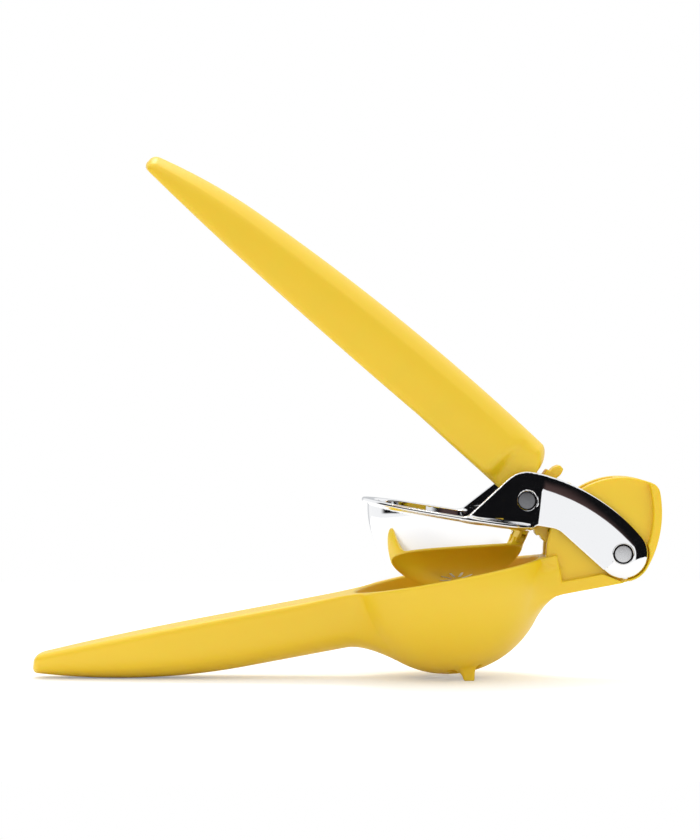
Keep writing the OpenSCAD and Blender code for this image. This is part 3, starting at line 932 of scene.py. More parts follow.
class Row(Recipe):
    """Copies of a mesh on a straight line, whose size may change from the first to the last."""

    name = "row of copies"
    sizes = {
        "Count": "Int",
        "Start": "Vector",
        "End": "Vector",
        "First Scale": "Vector",
        "Last Scale": "Vector",
    }

    def grow(self, given: Any) -> Socket:
        """Adds the line, the copies and their sizes."""
        steps = maths(self.tree, "SUBTRACT", given["Count"], 1.0)
        share = maths(self.tree, "DIVIDE", self.step("InputIndex", {}), steps)
        inputs = {0: share, 4: given["First Scale"], 5: given["Last Scale"]}
        size = add_node(self.tree, "ShaderNodeMix", data_type="VECTOR", inputs=inputs).outputs[1]
        shape = {"Instance": given["Geometry"], "Scale": size}
        return self.copies(given["Count"], given["Start"], given["End"], **shape)


class BeadRing(Recipe):
    """A round bead swept about a pivot, once on each side of the tool."""

    name = "bead round a pivot"
    sizes = {"Ring Radius": "Float", "Bead Radius": "Float", "Left": "Vector", "Right": "Vector"}
    points = {"Ring Radius": 96, "Bead Radius": 20}

    def grow(self, given: Any) -> Socket:
        """Adds the path, the bead and the two copies."""
        path, bead = (
            self.step("CurvePrimitiveCircle", {"Resolution": count, "Radius": given[size]})
            for size, count in self.points.items()
        )
        ring = self.step("CurveToMesh", {"Curve": path, "Profile Curve": bead})
        upright = (math.radians(90), 0.0, 0.0)
        return self.copies(2, given["Left"], given["Right"], Instance=ring, Rotation=upright)


def turned(name: str, profile: Array, segments: int) -> bpy.types.Mesh:
    """A solid turned about the Y axis.

    Args:
        name: Name of the mesh.
        profile: Rows of radius and place along the axis, which run from its far end to its near one.
        segments: Faces round the axis.

    Returns:
        The closed mesh, with each point's distance from the axis as its attribute from_axis.
    """
    turn = np.arange(segments) * 2 * math.pi / segments
    rings = [
        np.column_stack([r * np.cos(turn), np.full(segments, y), r * np.sin(turn)]) for r, y in profile[1:-1]
    ]
    points = np.vstack([*rings, [0, profile[0][1], 0], [0, profile[-1][1], 0]])
    first, last = len(points) - 2, len(points) - 1
    foot = (len(rings) - 1) * segments
    faces = []
    for i in range(segments):
        j = (i + 1) % segments
        faces.append((first, j, i))
        faces.extend((a + j, a + segments + j, a + segments + i, a + i) for a in range(0, foot, segments))
        faces.append((foot + j, last, foot + i))
    mesh = bpy.data.meshes.new(name)
    mesh.from_pydata(points.tolist(), [], faces)
    radii = np.hypot(points[:, 0], points[:, 2])
    mesh.attributes.new("from_axis", "FLOAT", "POINT").data.foreach_set("value", radii)
    return mesh


@dataclass(frozen=True)
class Rivets:
    """The two riveted pivot pins: a shank, and on each side a spun head that is barely domed."""

    layout: Layout
    head_r: float = 4.1
    edge: float = 0.45
    dome: float = 0.12
    dome_rings: int = 13
    segments: int = 72

    def blank(self) -> bpy.types.Mesh:
        """One pin, turned about the Y axis."""
        o = self.layout
        flat_r = self.head_r - self.edge
        radii = np.linspace(0, flat_r, self.dome_rings)
        face = [(r, o.ear_out - self.dome * (r / flat_r) ** 2) for r in radii]
        round_off = [
            (flat_r + self.edge * math.sin(t), o.ear_out - self.dome - self.edge * (1 - math.cos(t)))
            for t in np.radians([22.5, 45, 67.5, 90])
        ]
        half = [*face, *round_off, (self.head_r, o.seat_y), (o.pin_r, o.seat_y)]
        return turned("rivet", np.array(half + [(r, -y) for r, y in reversed(half)]), self.segments)

    def build(self, recipe: Row, finish: Finish, place: Placement) -> bpy.types.Object:
        """Sets a pin in each pivot.

        Args:
            recipe: The tree that sets copies on a line.
            finish: Finish of the pins.
            place: Where the press lies.

        Returns:
            Both pins as one piece.
        """
        start, end = ((at[0], 0.0, at[1]) for at in (self.layout.front, self.layout.rear))
        sizes = {"Count": 2, "Start": start, "End": end}
        sizes.update({"First_Scale": (1.0, 1.0, 1.0), "Last_Scale": (1.0, 1.0, 1.0)})
        return recipe.make("pivot_rivets", self.blank(), finish, place, **sizes)


# ------------------------------------------------------------------ lower body


@dataclass(frozen=True)
class LowerBody:
    """The lower handle, the bowl on its two feet, and the hinge block with the toothed fan."""

    layout: Layout

    # The handle, from its tip.
    reach: float = 190.0
    height: float = 24.3
    tip_h: float = 8.2
    tip_drop: float = 1.6
    top_len: float = 80.0
    under_len: float = 95.0
    side_share: float = 0.58
    tip_slant: float = 15.0
    tip_spare: float = 1.2
    tip_edge: float = 2.2
    ridge_edge: float = 3.0
    handle_edge: float = 3.0
    handle_blend: float = 11.2

    # The bowl. The handle's soft edge sharpens into the rim's between two places.
    rim_edge: float = 1.3
    rim_from: Pair = (-70.0, -45.0)
    drain_count: int = 8
    drain_half_w: float = 1.5
    drain_span: Pair = (5.5, 17.5)
    drain_top: float = -30.0
    drain_edge: float = 0.6

    # The feet. They widen upwards: to the front, to the back and to both sides.
    ground: float = -46.7
    foot_x: float = 1.0
    foot_y: float = 13.0
    foot_half: Pair = (2.4, 2.1)
    foot_h: float = 12.0
    foot_lean: float = 0.12
    lean_front: float = 2.4
    lean_back: float = 0.3
    foot_edge: float = 1.2
    sole_edge: float = 0.5
    foot_fillet: float = 2.4

    # The hinge block and the fan, from the rear pivot.
    hinge_r: float = 12.5
    fan_r: float = 34.0
    fan_back: float = 21.2
    fan_back_r: float = 50.0
    fan_edge: float = 2.0
    fan_fillet: float = 1.0
    block_edge: float = 0.9
    block_fillet: float = 1.0
    neck_blend: float = 10.0
    cheek_edge: float = 0.8
    cheek_fillet: float = 0.4

    # The recess that holds an ear.
    border_w: float = 3.8
    nest_front: float = 29.1
    nest_drop: float = 7.2
    nest_end_r: float = 11.7
    nest_edge: float = 0.5
    under_slope: float = 32.5

    # The slot for the handle's gear.
    fan_teeth: int = 5
    tooth_edge: float = 0.4
    slot_edge: float = 0.3

    def bounds(self) -> tuple[Array, Array]:
        """A box round the piece, in its own frame."""
        o = self.layout
        low = np.array([-self.reach - 2, -o.bowl_outer_r - 2, self.ground - 3])
        high = np.array([o.rear[0] + self.fan_back + 3, o.bowl_outer_r + 2, o.rear[1] + self.fan_r + 2])
        return low, high

    def top(self, x: Array) -> Array:
        """Height of the handle's inner face at x."""
        return -self.tip_drop * ease(1 - (self.reach + x) / self.top_len)

    def handle(self, x: Array, y: Array, z: Array) -> Array:
        """Distance to the handle, without its inner face."""
        from_tip = self.reach + x
        half = self.layout.handle_half(from_tip)
        tip_under = -self.tip_drop - self.tip_h
        under = -self.height + (tip_under + self.height) * ease(1 - from_tip / self.under_len)
        rise = (1 - self.side_share) * (self.top(x) - under)
        arch_r = (half**2 + rise**2) / (2 * rise)
        arch = np.hypot(y, np.minimum(z - under - arch_r, 0)) - arch_r
        slant = unit(self.tip_slant)
        end = (z - tip_under) * slant[1] + TIP_BOW * y * y - (from_tip + self.tip_spare) * slant[0]
        bar = meet(meet(y - half, arch, self.ridge_edge), end, self.tip_edge)
        return np.maximum(bar, x)

    def foot(self, x: Array, y: Array, z: Array) -> Array:
        """Distance to a foot, which stands square on the ground."""
        c, s = unit(self.layout.stance)
        along = x * c - z * s - (self.foot_x * c - self.ground * s)
        height = x * s + z * c - self.ground
        lean = self.foot_lean * height
        front = -along - self.foot_half[0] - self.lean_front * lean
        back = along - self.foot_half[0] - self.lean_back * lean
        side = np.abs(y - self.foot_y) - self.foot_half[1] - lean
        post = meet(meet(front, side, self.foot_edge), back, self.foot_edge)
        return meet(meet(post, -height, self.sole_edge), height - self.foot_h, self.sole_edge)

    def drains(self, x: Array, y: Array) -> Array:
        """Distance to the nearest drain slot, seen from above."""
        pitch = 2 * math.pi / self.drain_count
        turn = np.arctan2(y, x) - pitch / 2
        turn = turn - pitch * np.round(turn / pitch)
        r = np.hypot(x, y)
        along, across = r * np.cos(turn), r * np.sin(turn)
        low, high = self.drain_span[0] + self.drain_half_w, self.drain_span[1] - self.drain_half_w
        return np.hypot(along - np.clip(along, low, high), across) - self.drain_half_w

    @property
    def back_centre(self) -> Array:
        """Centre of the arc of the fan's back, which runs on into the round end of the hinge."""
        square = (self.hinge_r - self.fan_back) * (self.hinge_r + self.fan_back - 2 * self.fan_back_r)
        return np.array([self.fan_back - self.fan_back_r, math.sqrt(square)])

    def past_back(self, u: Array, w: Array) -> Array:
        """Distance past the fan's back."""
        return from_point(u, w, self.back_centre) - self.fan_back_r

    def hinge_outline(self, u: Array, w: Array) -> Array:
        """Distance to the side view of the neck, hinge block and fan, from the rear pivot."""
        r = np.hypot(u, w)
        fan = meet(r - self.fan_r, self.past_back(u, w), self.fan_edge)
        fan = np.maximum(fan, -w - self.hinge_r)
        neck = shared(w - self.layout.rear_drop, -w - self.hinge_r, u)
        outline = join(fan, neck, self.fan_fillet)
        centre = self.back_centre
        tangent = math.atan2(-centre[1], -centre[0])
        turn = np.arctan2(w, u)
        round_end = (turn < tangent) & (turn > -math.pi / 2)
        return np.where(round_end, r - self.hinge_r, outline)

    def nest(self, u: Array, w: Array) -> Array:
        """Distance to the recess that holds an ear, from the rear pivot."""
        inside_border = self.past_back(u, w) + self.border_w
        box = shared(-self.nest_front - u, -self.nest_drop - w, inside_border)
        above_rim = np.maximum(self.layout.rear_drop - w, inside_border)
        line = -past_line(u, w, (0, 0), 90 - self.under_slope) - self.nest_end_r
        flat = shared(line, u, -self.nest_front / 2 - u)
        end = np.hypot(u, w) - self.nest_end_r
        return np.minimum(np.minimum(box, above_rim), np.minimum(flat, end))

    def gear_slot(self, u: Array, y: Array, w: Array) -> Array:
        """Distance to the slot for the handle's gear, with the fan's teeth left standing."""
        o = self.layout
        gear = o.fan_gear
        first_gap = o.line_angle - o.last_tooth * o.handle_gear.teeth / gear.teeth
        end = first_gap - (self.fan_teeth - 0.5) * gear.pitch
        start = 180 - math.degrees(math.asin(o.rear_drop / self.fan_r))
        r = np.hypot(u, w)
        turn = np.degrees(np.arctan2(w, u))
        turn = np.where(turn < -90, turn + 360, turn)
        place = turn - first_gap - gear.pitch / 2
        off_tooth = place - gear.pitch * np.round(place / gear.pitch)
        tooth = gear.tooth(r, off_tooth, self.tooth_edge)
        hollow = np.maximum(gear.root_r - r, wedge(r, turn - (start + end) / 2, (start - end) / 2))
        return meet(carve(hollow, tooth, self.slot_edge), y - o.slot_half_w, self.slot_edge)

    def distance(self, x: Array, y: Array, z: Array) -> Array:
        """Distance to the whole piece."""
        o = self.layout
        y = np.abs(y)
        centre = np.sqrt(x * x + y * y + z * z)
        body = join(centre - o.bowl_outer_r, self.handle(x, y, z), self.handle_blend)
        start, end = self.rim_from
        edge = lerp(self.handle_edge, self.rim_edge, smooth((x - start) / (end - start)))
        body = meet(body, z - self.top(x), edge)
        u, w = x - o.rear[0], z - o.rear[1]
        outline = self.hinge_outline(u, w)
        slab = meet(outline, y - o.fan_half_w, self.block_edge)
        cheek = carve(outline, self.nest(u, w), self.nest_edge)
        cheek = meet(cheek, y - o.ear_out, self.cheek_edge)
        block = np.maximum(join(slab, cheek, self.cheek_fillet), -x)
        below_rim = smooth(-(z + 1.0) / 6.0)
        body = join(body, block, lerp(self.block_fillet, self.neck_blend, below_rim))
        body = join(body, self.foot(x, y, z), self.foot_fillet)
        bowl = centre - o.bowl_inner_r
        mouth = np.maximum(bowl, np.hypot(x, y) - o.bowl_inner_r)
        body = carve(body, np.where(z < 0, bowl, mouth), self.rim_edge)
        body = carve(body, np.maximum(self.drains(x, y), z - self.drain_top), self.drain_edge)
        body = carve(body, self.gear_slot(u, y, w), self.tooth_edge)
        bore = np.hypot(u, w) - o.pin_r - PIN_PLAY
        return np.maximum(body, -bore)


# ------------------------------------------------------------------ press


@dataclass(frozen=True)
class PressCup:
    """The press: cup and flange, the walls of the fork, and the two ears, in one casting."""

    layout: Layout

    # The cup and its flange.
    centre_h: float = 2.7
    outer_r: float = 37.3
    wall: float = 2.4
    flange_r: float = 40.0
    flange_half_t: float = 0.9
    flange_edge: float = 0.85
    flange_fillet: float = 1.2
    rim_edge: float = 0.8
    floor_fillet: float = 2.0

    # The ears' side view.
    front_r: float = 13.0
    rear_r: float = 11.3
    back_r: float = 86.0
    front_slope: float = 49.7
    under_slope: float = 32.5
    under_z: float = 1.3
    under_fillet: float = 1.2

    # The walls of the fork, seen from above, which spread from the ears and lean outwards below.
    splay_angle: float = 46.0
    splay_r: float = 25.5
    splay_start: float = 7.7
    lean: float = 0.05
    crown_h: float = 7.5
    crown_r: float = 19.0
    wall_inset: float = 0.6
    outer_edge: float = 0.6
    inner_edge: float = 0.5
    wall_fillet: Pair = (1.2, 1.8)

    # The seats of the rivets, with their raised rims: radius of the ring and of its bead.
    seat_r: float = 4.35
    seat_edge: float = 0.3
    front_ring: Pair = (5.02, 0.66)
    rear_ring: Pair = (4.7, 0.32)
    ring_sunk: float = 0.25

    # The room for the handle's gear and for its hub, which is smaller than an ear's rear end.
    gear_room: float = 0.4
    hub_less: float = 0.3

    def bounds(self) -> tuple[Array, Array]:
        """A box round the piece, in its own frame, closed."""
        o = self.layout
        low = np.array([-self.flange_r - 2, -self.flange_r - 2, -self.outer_r - 1])
        return low, np.array([o.rear[0] + self.rear_r + 2, self.flange_r + 2, o.front[1] + self.front_r + 2])

    def top_edge(self, x: Array, z: Array) -> Array:
        """Distance to the region under an ear's top edge, in the side view."""
        front, rear = self.layout.front, self.layout.rear
        span = np.linalg.norm(front - rear)
        to_front = (front - rear) / span
        a, b = self.back_r - self.rear_r, self.back_r - self.front_r
        along = (a * a - b * b + span * span) / (2 * span)
        below = math.sqrt(a * a - along * along)
        aside = below * np.array([-to_front[1], to_front[0]])
        foot = rear + along * to_front
        centre = foot + aside if foot[1] + aside[1] <= rear[1] else foot - aside
        arc = from_point(x, z, centre) - self.back_r
        front_turn, rear_turn = (math.atan2(*(at - centre)[::-1]) for at in (front, rear))
        turn = np.arctan2(z - centre[1], x - centre[0])
        fx, fz = x - front[0], z - front[1]
        normal = unit(90 + self.front_slope)
        slope = fx * normal[0] + fz * normal[1] - self.front_r
        round_front = np.hypot(fx, fz) - self.front_r
        ahead = fz * normal[0] - fx * normal[1] < 0
        at_front = np.where(ahead, round_front, slope)
        at_rear = from_point(x, z, rear) - self.rear_r
        return np.where(turn > front_turn, at_front, np.where(turn < rear_turn, at_rear, arc))

    def ear_outline(self, x: Array, z: Array) -> Array:
        """Distance to an ear and its wall, in the side view."""
        sloped = -past_line(x, z, self.layout.rear, 90 - self.under_slope) - self.rear_r
        level = lerp(-0.4, self.under_z, smooth((x - self.flange_r + 4) / 3)) - z
        return np.maximum(self.top_edge(x, z), join(level, sloped, self.under_fillet))

    def wall_face(self, x: Array, y: Array, z: Array) -> Array:
        """Distance out from the outer face of an ear and its spread wall, which leans outwards below."""
        o = self.layout
        bend = (o.front[0] + self.splay_start, o.ear_out + self.splay_r)
        turn = np.degrees(np.arctan2(bend[0] - x, bend[1] - y))
        spread = past_line(x, y, bend, 90 - self.splay_angle) + self.splay_r
        bent = self.splay_r - from_point(x, y, bend)
        face = np.where(turn < 0, y - o.ear_out, np.where(turn > self.splay_angle, spread, bent))
        return face + self.lean * smooth(turn / 20) * (z - o.front[1] - self.front_r)

    def distance(self, x: Array, y: Array, z: Array) -> Array:
        """Distance to the whole piece."""
        o = self.layout
        y = np.abs(y)
        r = np.hypot(x, y)
        ball = np.hypot(r, z - self.centre_h)
        cup = np.maximum(ball - self.outer_r, z)
        flange = meet(np.abs(z) - self.flange_half_t, r - self.flange_r, self.flange_edge)
        body = join(cup, flange, self.flange_fillet)
        face = self.wall_face(x, y, z)
        hollow = meet(ball - self.outer_r + self.wall, face + o.ear_t + 0.2, self.floor_fillet)
        body = carve(body, hollow, self.rim_edge)
        crowned = face + ease(self.top_edge(x, z) + self.crown_h) / (2 * self.crown_r)
        plate = meet(self.ear_outline(x, z), crowned, self.outer_edge)
        plate = meet(plate, -face - o.ear_t, self.inner_edge)
        behind_cup = smooth((x - 8) / 14)
        plate = meet(plate, r - self.flange_r + self.wall_inset - NO_LIMIT * behind_cup, self.outer_edge)
        body = join(body, plate, lerp(*self.wall_fillet, smooth((y - o.fan_half_w) / 6)))
        for at in (o.front, o.rear):
            from_pin = from_point(x, z, at)
            body = carve(body, np.maximum(from_pin - self.seat_r, o.seat_y - y), self.seat_edge)
            body = np.maximum(body, o.pin_r - from_pin)
        from_front = from_point(x, z, o.front)
        gear = np.maximum(from_front - o.handle_gear.tip_r - self.gear_room, y - o.slot_half_w)
        hub = from_front - self.rear_r + self.hub_less - self.gear_room
        hub = np.maximum(hub, y - o.fan_half_w - o.side_gap)
        return carve(body, np.minimum(gear, hub), self.seat_edge)

    def rings(self, recipe: BeadRing, finish: Finish, place: Placement) -> list[bpy.types.Object]:
        """The raised rims round the rivets' seats, which are part of the same casting.

        Args:
            recipe: The tree that sweeps a bead.
            finish: Finish of the casting.
            place: Where the press lies.

        Returns:
            A piece for each pivot.
        """
        out = self.layout.ear_out - self.ring_sunk
        made = []
        for name, at, (ring_r, bead_r) in (
            ("front_seat_rim", self.layout.front, self.front_ring),
            ("rear_seat_rim", self.layout.rear, self.rear_ring),
        ):
            sizes = {"Ring_Radius": ring_r, "Bead_Radius": bead_r}
            sizes.update((side, (at[0], y, at[1])) for side, y in (("Left", out), ("Right", -out)))
            made.append(recipe.make(name, bpy.data.meshes.new(name), finish, place, **sizes))
        return made


# ------------------------------------------------------------------ upper handle


@dataclass(frozen=True)
class UpperHandle:
    """The upper handle with its gear, drawn from the front pivot with the tip towards -x."""

    layout: Layout

    # The side view: the back, and the inner face, with an arc on each side of its lowest point.
    reach: float = 227.5
    crown: float = 24.0
    peak: float = 35.0
    back_r: float = 1090.0
    fall_start: float = 175.0
    fall_r: float = 325.0
    shoulder: float = 11.0
    shoulder_r: float = 3.0
    face_drop: float = 5.5
    face_low: float = 165.0
    face_root_r: float = 3500.0
    face_tip_r: float = 1600.0
    face_flat: float = 60.0

    # The bar, which is narrow between the ears and then takes its full width.
    side_share: float = 0.58
    narrow_from: float = 4.8
    wide_from: float = 20.0
    plan_edge: float = 4.0
    arch_rise: float = 4.5
    arch_len: float = 13.0
    ridge_edge: Pair = (1.5, 3.0)
    ridge_len: float = 20.0
    edge: float = 3.0
    tip_edge: float = 2.5
    ear_run: float = 6.0
    ear_edge: float = 0.5

    # The hollow and the ribs across it.
    core_wall: float = 3.2
    core_start: float = 34.0
    core_end_gap: float = 30.0
    core_count: int = 7
    core_fillet: float = 1.5
    core_end_r: float = 2.0
    core_edge: float = 0.6
    rib_t: float = 2.4
    rib_sunk: float = 0.5
    rib_half_w: float = 14.0
    rib_root: float = 1.5
    rib_edge: float = 0.5

    # The hub and the gear.
    hub_r: float = 11.0
    hub_edge: float = 0.6
    hub_fillet: float = 1.5
    gear_teeth: int = 5
    gear_fillet: float = 0.8
    tooth_edge: float = 0.4
    tooth_fillet: float = 0.6

    def bounds(self) -> tuple[Array, Array]:
        """A box round the piece, in its own frame."""
        tip, half = self.layout.handle_gear.tip_r + 2, self.layout.handle_half_w + 2
        return np.array([-self.reach - 2, -half, -tip]), np.array([tip, half, self.crown + 3])

    def face(self, u: Array) -> Array:
        """Height of the inner face over the line from the pivot to the tip."""
        past = np.maximum(u, self.face_flat) - self.face_low
        radius = np.where(past > 0, self.face_tip_r, self.face_root_r)
        return np.square(past) / (2 * radius) - self.face_drop

    def back(self, u: Array) -> Array:
        """Height of the back."""
        long_arc = self.crown - np.square(u - self.peak) / (2 * self.back_r)
        fall = ease(u - self.fall_start) / (2 * self.fall_r)
        return long_arc - fall - ease(self.shoulder - u) / (2 * self.shoulder_r)

    def gear(self, x: Array, y: Array, z: Array) -> Array:
        """Distance to the gear between the ears."""
        o = self.layout
        gear = o.handle_gear
        line = o.line_angle - 180 + o.upper_rise + o.last_tooth
        r = np.hypot(x, z)
        turn = np.degrees(np.arctan2(z, x))
        last = self.gear_teeth - 1
        count = np.clip(np.round((turn - line) / gear.pitch), 0, last)
        off_tooth = turn - line - gear.pitch * count
        tooth = gear.tooth(r, (off_tooth + 180) % 360 - 180, self.tooth_edge)
        off_middle = turn - (line + last * gear.pitch / 2)
        web = wedge(r, (off_middle + 180) % 360 - 180, self.gear_teeth * gear.pitch / 2)
        body = join(tooth, np.maximum(r - gear.root_r, web), self.tooth_fillet)
        return meet(body, y - o.gear_half_w, self.tooth_edge)

    def hollow(self, u: Array, y: Array, z: Array) -> Array:
        """Distance to the hollow that is cored out of the inner face."""
        wall = y - self.layout.handle_half(self.reach - u) + self.core_wall
        core = meet(wall, z - lerp(self.face(u), self.back(u), 0.5), self.core_fillet)
        core = meet(core, self.core_start - u, self.core_end_r)
        return meet(core, u - self.reach + self.core_end_gap, self.core_end_r)

    def bar(self, u: Array, y: Array, z: Array) -> Array:
        """Distance to the handle's long bar, whose back is arched across."""
        o = self.layout
        half = o.handle_half(self.reach - u)
        face, back = self.face(u), self.back(u)
        wide = meet(y - half, self.wide_from - u, self.plan_edge)
        narrow = np.maximum(y - o.fan_half_w, self.narrow_from - u)
        plan = join(wide, narrow, self.plan_edge)
        past = u - self.shoulder
        grown = np.clip(past / self.arch_len, 0, 1)
        rise = lerp(self.arch_rise, (1 - self.side_share) * (back - face), grown)
        arch_half = lerp(o.fan_half_w, half, grown)
        arch_r = (arch_half**2 + rise**2) / (2 * rise)
        arch = np.hypot(y, np.maximum(z - back + arch_r, 0)) - arch_r
        bar = meet(plan, arch, lerp(*self.ridge_edge, np.clip(past / self.ridge_len, 0, 1)))
        bar = meet(bar, face - z, self.edge)
        return meet(bar, u - self.reach + TIP_BOW * y * y, self.tip_edge)

    def distance(self, x: Array, y: Array, z: Array) -> Array:
        """Distance to the whole piece."""
        o = self.layout
        u = -x
        y = np.abs(y)
        r = np.hypot(x, z)
        bar = carve(self.bar(u, y, z), self.hollow(u, y, z), self.core_edge)
        hub = meet(r - self.hub_r, y - o.fan_half_w, self.hub_edge)
        body = join(join(bar, hub, self.hub_fillet), self.gear(x, y, z), self.gear_fillet)
        past_ears = smooth((u - self.shoulder) / self.ear_run)
        body = meet(body, y - o.fan_half_w - NO_LIMIT * past_ears, self.ear_edge)
        return np.maximum(body, o.pin_r + PIN_PLAY - r)

    def ribs(self, recipe: Row, finish: Finish, place: Placement) -> bpy.types.Object:
        """The ribs across the hollow, which stand a little inside the inner face.

        Args:
            recipe: The tree that sets copies on a line.
            finish: Finish of the handle.
            place: Where the handle lies.

        Returns:
            All the ribs as one piece.
        """
        pitch = (self.reach - self.core_end_gap - self.core_start + self.rib_t) / self.core_count
        ends = np.array([1, self.core_count - 1])
        at = self.core_start + pitch * ends - self.rib_t / 2
        foot = self.face(at) + self.rib_sunk
        tall = (self.face(at) + self.back(at)) / 2 + self.rib_root - foot
        slab = bmesh.new()
        bmesh.ops.create_cube(slab, size=1.0)
        bmesh.ops.translate(slab, verts=slab.verts, vec=(0, 0, 0.5))
        bmesh.ops.scale(slab, verts=slab.verts, vec=(self.rib_t, 2 * self.rib_half_w, tall[0]))
        rounded = {"offset": self.rib_edge, "segments": 3, "affect": "EDGES", "profile": 0.5}
        bmesh.ops.bevel(slab, geom=slab.edges[:], **rounded)
        mesh = bpy.data.meshes.new("rib")
        slab.to_mesh(mesh)
        slab.free()
        start, end = ((-u, 0.0, z) for u, z in zip(at, foot))
        scales = {"First_Scale": (1.0, 1.0, 1.0), "Last_Scale": (1.0, 1.0, tall[1] / tall[0])}
        count = self.core_count - 1
        return recipe.make("core_ribs", mesh, finish, place, Count=count, Start=start, End=end, **scales)


# ------------------------------------------------------------------ studio


@dataclass(frozen=True)
class Studio:
    """A white table with soft light, and the camera."""

    # The camera, in millimetres and pixels.
    pixel: float = 0.45
    width: int = 700
    height: int = 840
    sensor: float = 36.0
    distance: float = 1200.0
    camera_x: float = 1.4
    camera_z: float = 128.0
    ground_row: float = 677.5

    # The table: its near left and far right corners in metres, and what lifts it to white.
    table: tuple[Pair, Pair] = ((-0.4, -0.32), (0.4, 0.6))
    paper: str = "F2F1F0"
    table_lift: tuple[float, float, float] = (0.2, 0.23, 0.27)

    # The light of the room, from below and from above, and where it changes.
    room_light: Pair = (1.0, 1.12)
    room_from: Pair = (-0.2, 1.0)

    # What mirrors see, by the parts of a direction: black flags at the sides, a pale window between
    # them round the lens, and white behind and above.
    flag_colour: str = "0E0E10"
    low_flag_colour: str = "503E3C"
    far_colour: str = "C9CBCE"
    fade: Pair = (0.16, 0.5)
    flag_side: Pair = (0.27, 0.33)
    flag_tint_side: Pair = (0.1, 0.36)
    window_top: float = 0.05
    flag_foot: Pair = (-0.12, -0.28)
    flag_turn: Pair = (-0.3, 0.3)
    flag_blur: Pair = (0.0, 0.03)
    flag_top: Pair = (0.62, 0.7)
    flag_back: Pair = (0.25, 0.45)
    far: Pair = (0.9, 1.0)

    # The lamp, in metres and watts.
    lamp_at: tuple[float, float, float] = (-0.1, 0.5, 1.25)
    lamp_aim: tuple[float, float, float] = (0.0, 0.0, 0.08)
    lamp_size: float = 0.5
    lamp_power: float = 5.5

    def camera(self) -> None:
        """Puts the camera level with the middle of the tool, looking along +Y."""
        data = bpy.data.cameras.new("camera")
        data.sensor_fit = "HORIZONTAL"
        data.sensor_width = self.sensor
        view_w = self.width * self.pixel
        data.lens = data.sensor_width * self.distance / view_w
        middle_z = (self.ground_row - self.height / 2) * self.pixel
        data.shift_y = (middle_z - self.camera_z) / view_w
        data.clip_end = 20.0
        obj = new_object("camera", data)
        obj.location = (self.camera_x * MM, -self.distance * MM, self.camera_z * MM)
        obj.rotation_euler = (math.radians(90), 0, 0)
        bpy.context.scene.camera = obj

    def floor(self) -> None:
        """A wide white table."""
        (left, near), (right, far) = self.table
        mesh = bpy.data.meshes.new("floor")
        corners = [(left, near, 0), (right, near, 0), (right, far, 0), (left, far, 0)]
        mesh.from_pydata(corners, [], [(0, 1, 2, 3)])
        made = bpy.data.materials.new("white table")
        made.use_nodes = True
        tree = made.node_tree
        tree.nodes.clear()
        # To the eye: paper white, which melts into the white behind it and keeps the tool's soft shadow.
        paper = add_node(tree, "ShaderNodeBsdfDiffuse", inputs={"Color": linear(self.paper)})
        seen = add_node(tree, "ShaderNodeLightPath").outputs["Is Camera Ray"]
        lift = {"Color": (*self.table_lift, 1.0), "Strength": seen}
        white = add_node(tree, "ShaderNodeEmission", inputs=lift)
        both = add_node(tree, "ShaderNodeAddShader", inputs={0: paper.outputs[0], 1: white.outputs[0]})
        add_node(tree, "ShaderNodeOutputMaterial", inputs={"Surface": both.outputs[0]})
        mesh.materials.append(made)
        new_object("floor", mesh)

    def world(self) -> None:
        """White all round for the eye, light from above, and dark flags that only mirrors see."""
        world = bpy.data.worlds.new("studio")
        bpy.context.scene.world = world
        world.use_nodes = True
        tree = world.node_tree
        tree.nodes.clear()
        direction = add_node(tree, "ShaderNodeTexCoord").outputs["Generated"]
        rays = add_node(tree, "ShaderNodeLightPath").outputs
        seen = blend(tree, rays["Is Glossy Ray"], WHITE, self._mirrored(tree, direction))
        power = self._ease(tree, split(tree, direction)[2], self.room_from, self.room_light)
        lit = add_node(tree, "ShaderNodeBackground", inputs={"Color": WHITE, "Strength": power})
        shown = add_node(tree, "ShaderNodeBackground", inputs={"Color": seen, "Strength": 1.0})
        direct = rays["Is Camera Ray"]
        for kind in ("Is Glossy Ray", "Is Transmission Ray"):
            direct = maths(tree, "MAXIMUM", direct, rays[kind])
        shares = {0: direct, 1: lit.outputs[0], 2: shown.outputs[0]}
        both = add_node(tree, "ShaderNodeMixShader", inputs=shares)
        add_node(tree, "ShaderNodeOutputWorld", inputs={"Surface": both.outputs[0]})

    @staticmethod
    def _ease(tree: Tree, value: Socket, given: Pair, made: Pair = (0, 1)) -> Socket:
        """Takes a value smoothly from one range to another."""
        return remap(tree, value, given, made, "SMOOTHSTEP")

    def _mirrored(self, tree: Tree, direction: Socket) -> Socket:
        """What a mirror sees: white, with black flags that leave a window round the lens.

        Args:
            tree: The world's node tree.
            direction: The direction that is looked in.

        Returns:
            The colour.
        """
        x, y, z = split(tree, direction)
        aside = maths(tree, "ABSOLUTE", x)
        drop = self._ease(tree, x, self.flag_turn, tuple(foot - self.window_top for foot in self.flag_foot))
        beside = self._ease(tree, aside, self.flag_side)
        foot = maths(tree, "MULTIPLY_ADD", beside, drop, self.window_top)
        dark = self._ease(tree, maths(tree, "SUBTRACT", z, foot), self.flag_blur)
        for part, given in ((z, self.flag_top), (y, self.flag_back)):
            dark = maths(tree, "MULTIPLY", dark, self._ease(tree, part, given, (1, 0)))
        tinted = self._ease(tree, aside, self.flag_tint_side)
        deep = maths(tree, "MAXIMUM", tinted, self._ease(tree, z, self.fade))
        colour = blend(tree, deep, linear(self.low_flag_colour), linear(self.flag_colour))
        white = blend(tree, self._ease(tree, y, self.far), WHITE, linear(self.far_colour))
        return blend(tree, dark, white, colour)

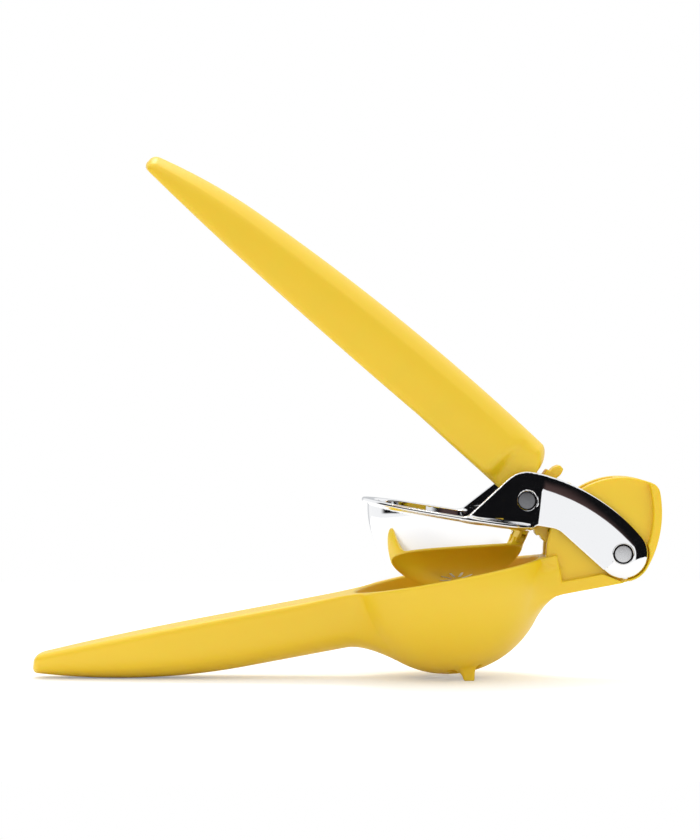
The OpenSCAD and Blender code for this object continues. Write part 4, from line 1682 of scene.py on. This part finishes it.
    def lamp(self) -> None:
        """Adds a soft square lamp behind and above, which points at the tool."""
        data = bpy.data.lights.new("key", "AREA")
        data.size, data.energy = self.lamp_size, self.lamp_power
        obj = new_object("key", data)
        obj.location = self.lamp_at
        aim = np.array(self.lamp_aim) - np.array(self.lamp_at)
        yaw = math.atan2(aim[1], aim[0]) - math.pi / 2
        tilt = math.acos(-aim[2] / np.linalg.norm(aim))
        obj.rotation_euler = (tilt, 0, yaw)

    def build(self) -> None:
        """Builds the whole studio."""
        self.camera()
        self.floor()
        self.world()
        self.lamp()


# ------------------------------------------------------------------ main


def dress(obj: bpy.types.Object, finish: Finish, body: str, slot: str, *nodes: str) -> None:
    """Gives a piece its finish and its place among the bodies.

    Args:
        obj: The piece.
        finish: Its finish.
        body: The body that it moves with.
        slot: The record's material slot; not used.
        *nodes: The CAD nodes that it stands for.
    """
    obj.data.materials.clear()
    obj.data.materials.append(finish.material())
    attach(obj, body)
    if nodes:
        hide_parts(*nodes)
    LOG.info("%s: %d faces, rides on %s", obj.name, len(obj.data.polygons), body)


def main() -> None:
    """Builds the squeezer and its studio."""
    logging.basicConfig(level=logging.INFO, format="%(message)s")
    bpy.context.scene.view_settings.view_transform = "Standard"
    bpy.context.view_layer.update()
    layout = Layout()
    stand = Stand.read(layout)
    mesher = Mesher(CELL)
    row, bead = Row(), BeadRing()

    nylon = MouldedNylon("moulded nylon")
    lower = LowerBody(layout)
    made = mesher.build("lower_shell", lower.distance, *lower.bounds(), stand.lower())
    dress(made, nylon, "lower body", "yellow_nylon", "lower_body")

    upper = UpperHandle(layout)
    made = mesher.build("upper_lever", upper.distance, *upper.bounds(), stand.handle())
    dress(made, nylon, "upper handle", "yellow_nylon_upper", "upper_handle")
    dress(upper.ribs(row, nylon, stand.handle()), nylon, "upper handle", "yellow_nylon_upper")

    chrome = PolishedChrome("polished chrome")
    press = PressCup(layout)
    made = mesher.build("press", press.distance, *press.bounds(), stand.press())
    dress(made, chrome, "press", "polished_casting", "press_cup")
    for rim in press.rings(bead, chrome, stand.press()):
        dress(rim, chrome, "press", "polished_casting")

    steel = TurnedSteel("turned steel")
    made = Rivets(layout).build(row, steel, stand.press())
    nodes = ("front_pivot_pin", "front_pivot_cap", "rear_pivot_pin", "rear_pivot_cap")
    dress(made, steel, "press", "pin_steel", *nodes)

    Studio().build()


if __name__ == "__main__":
    main()
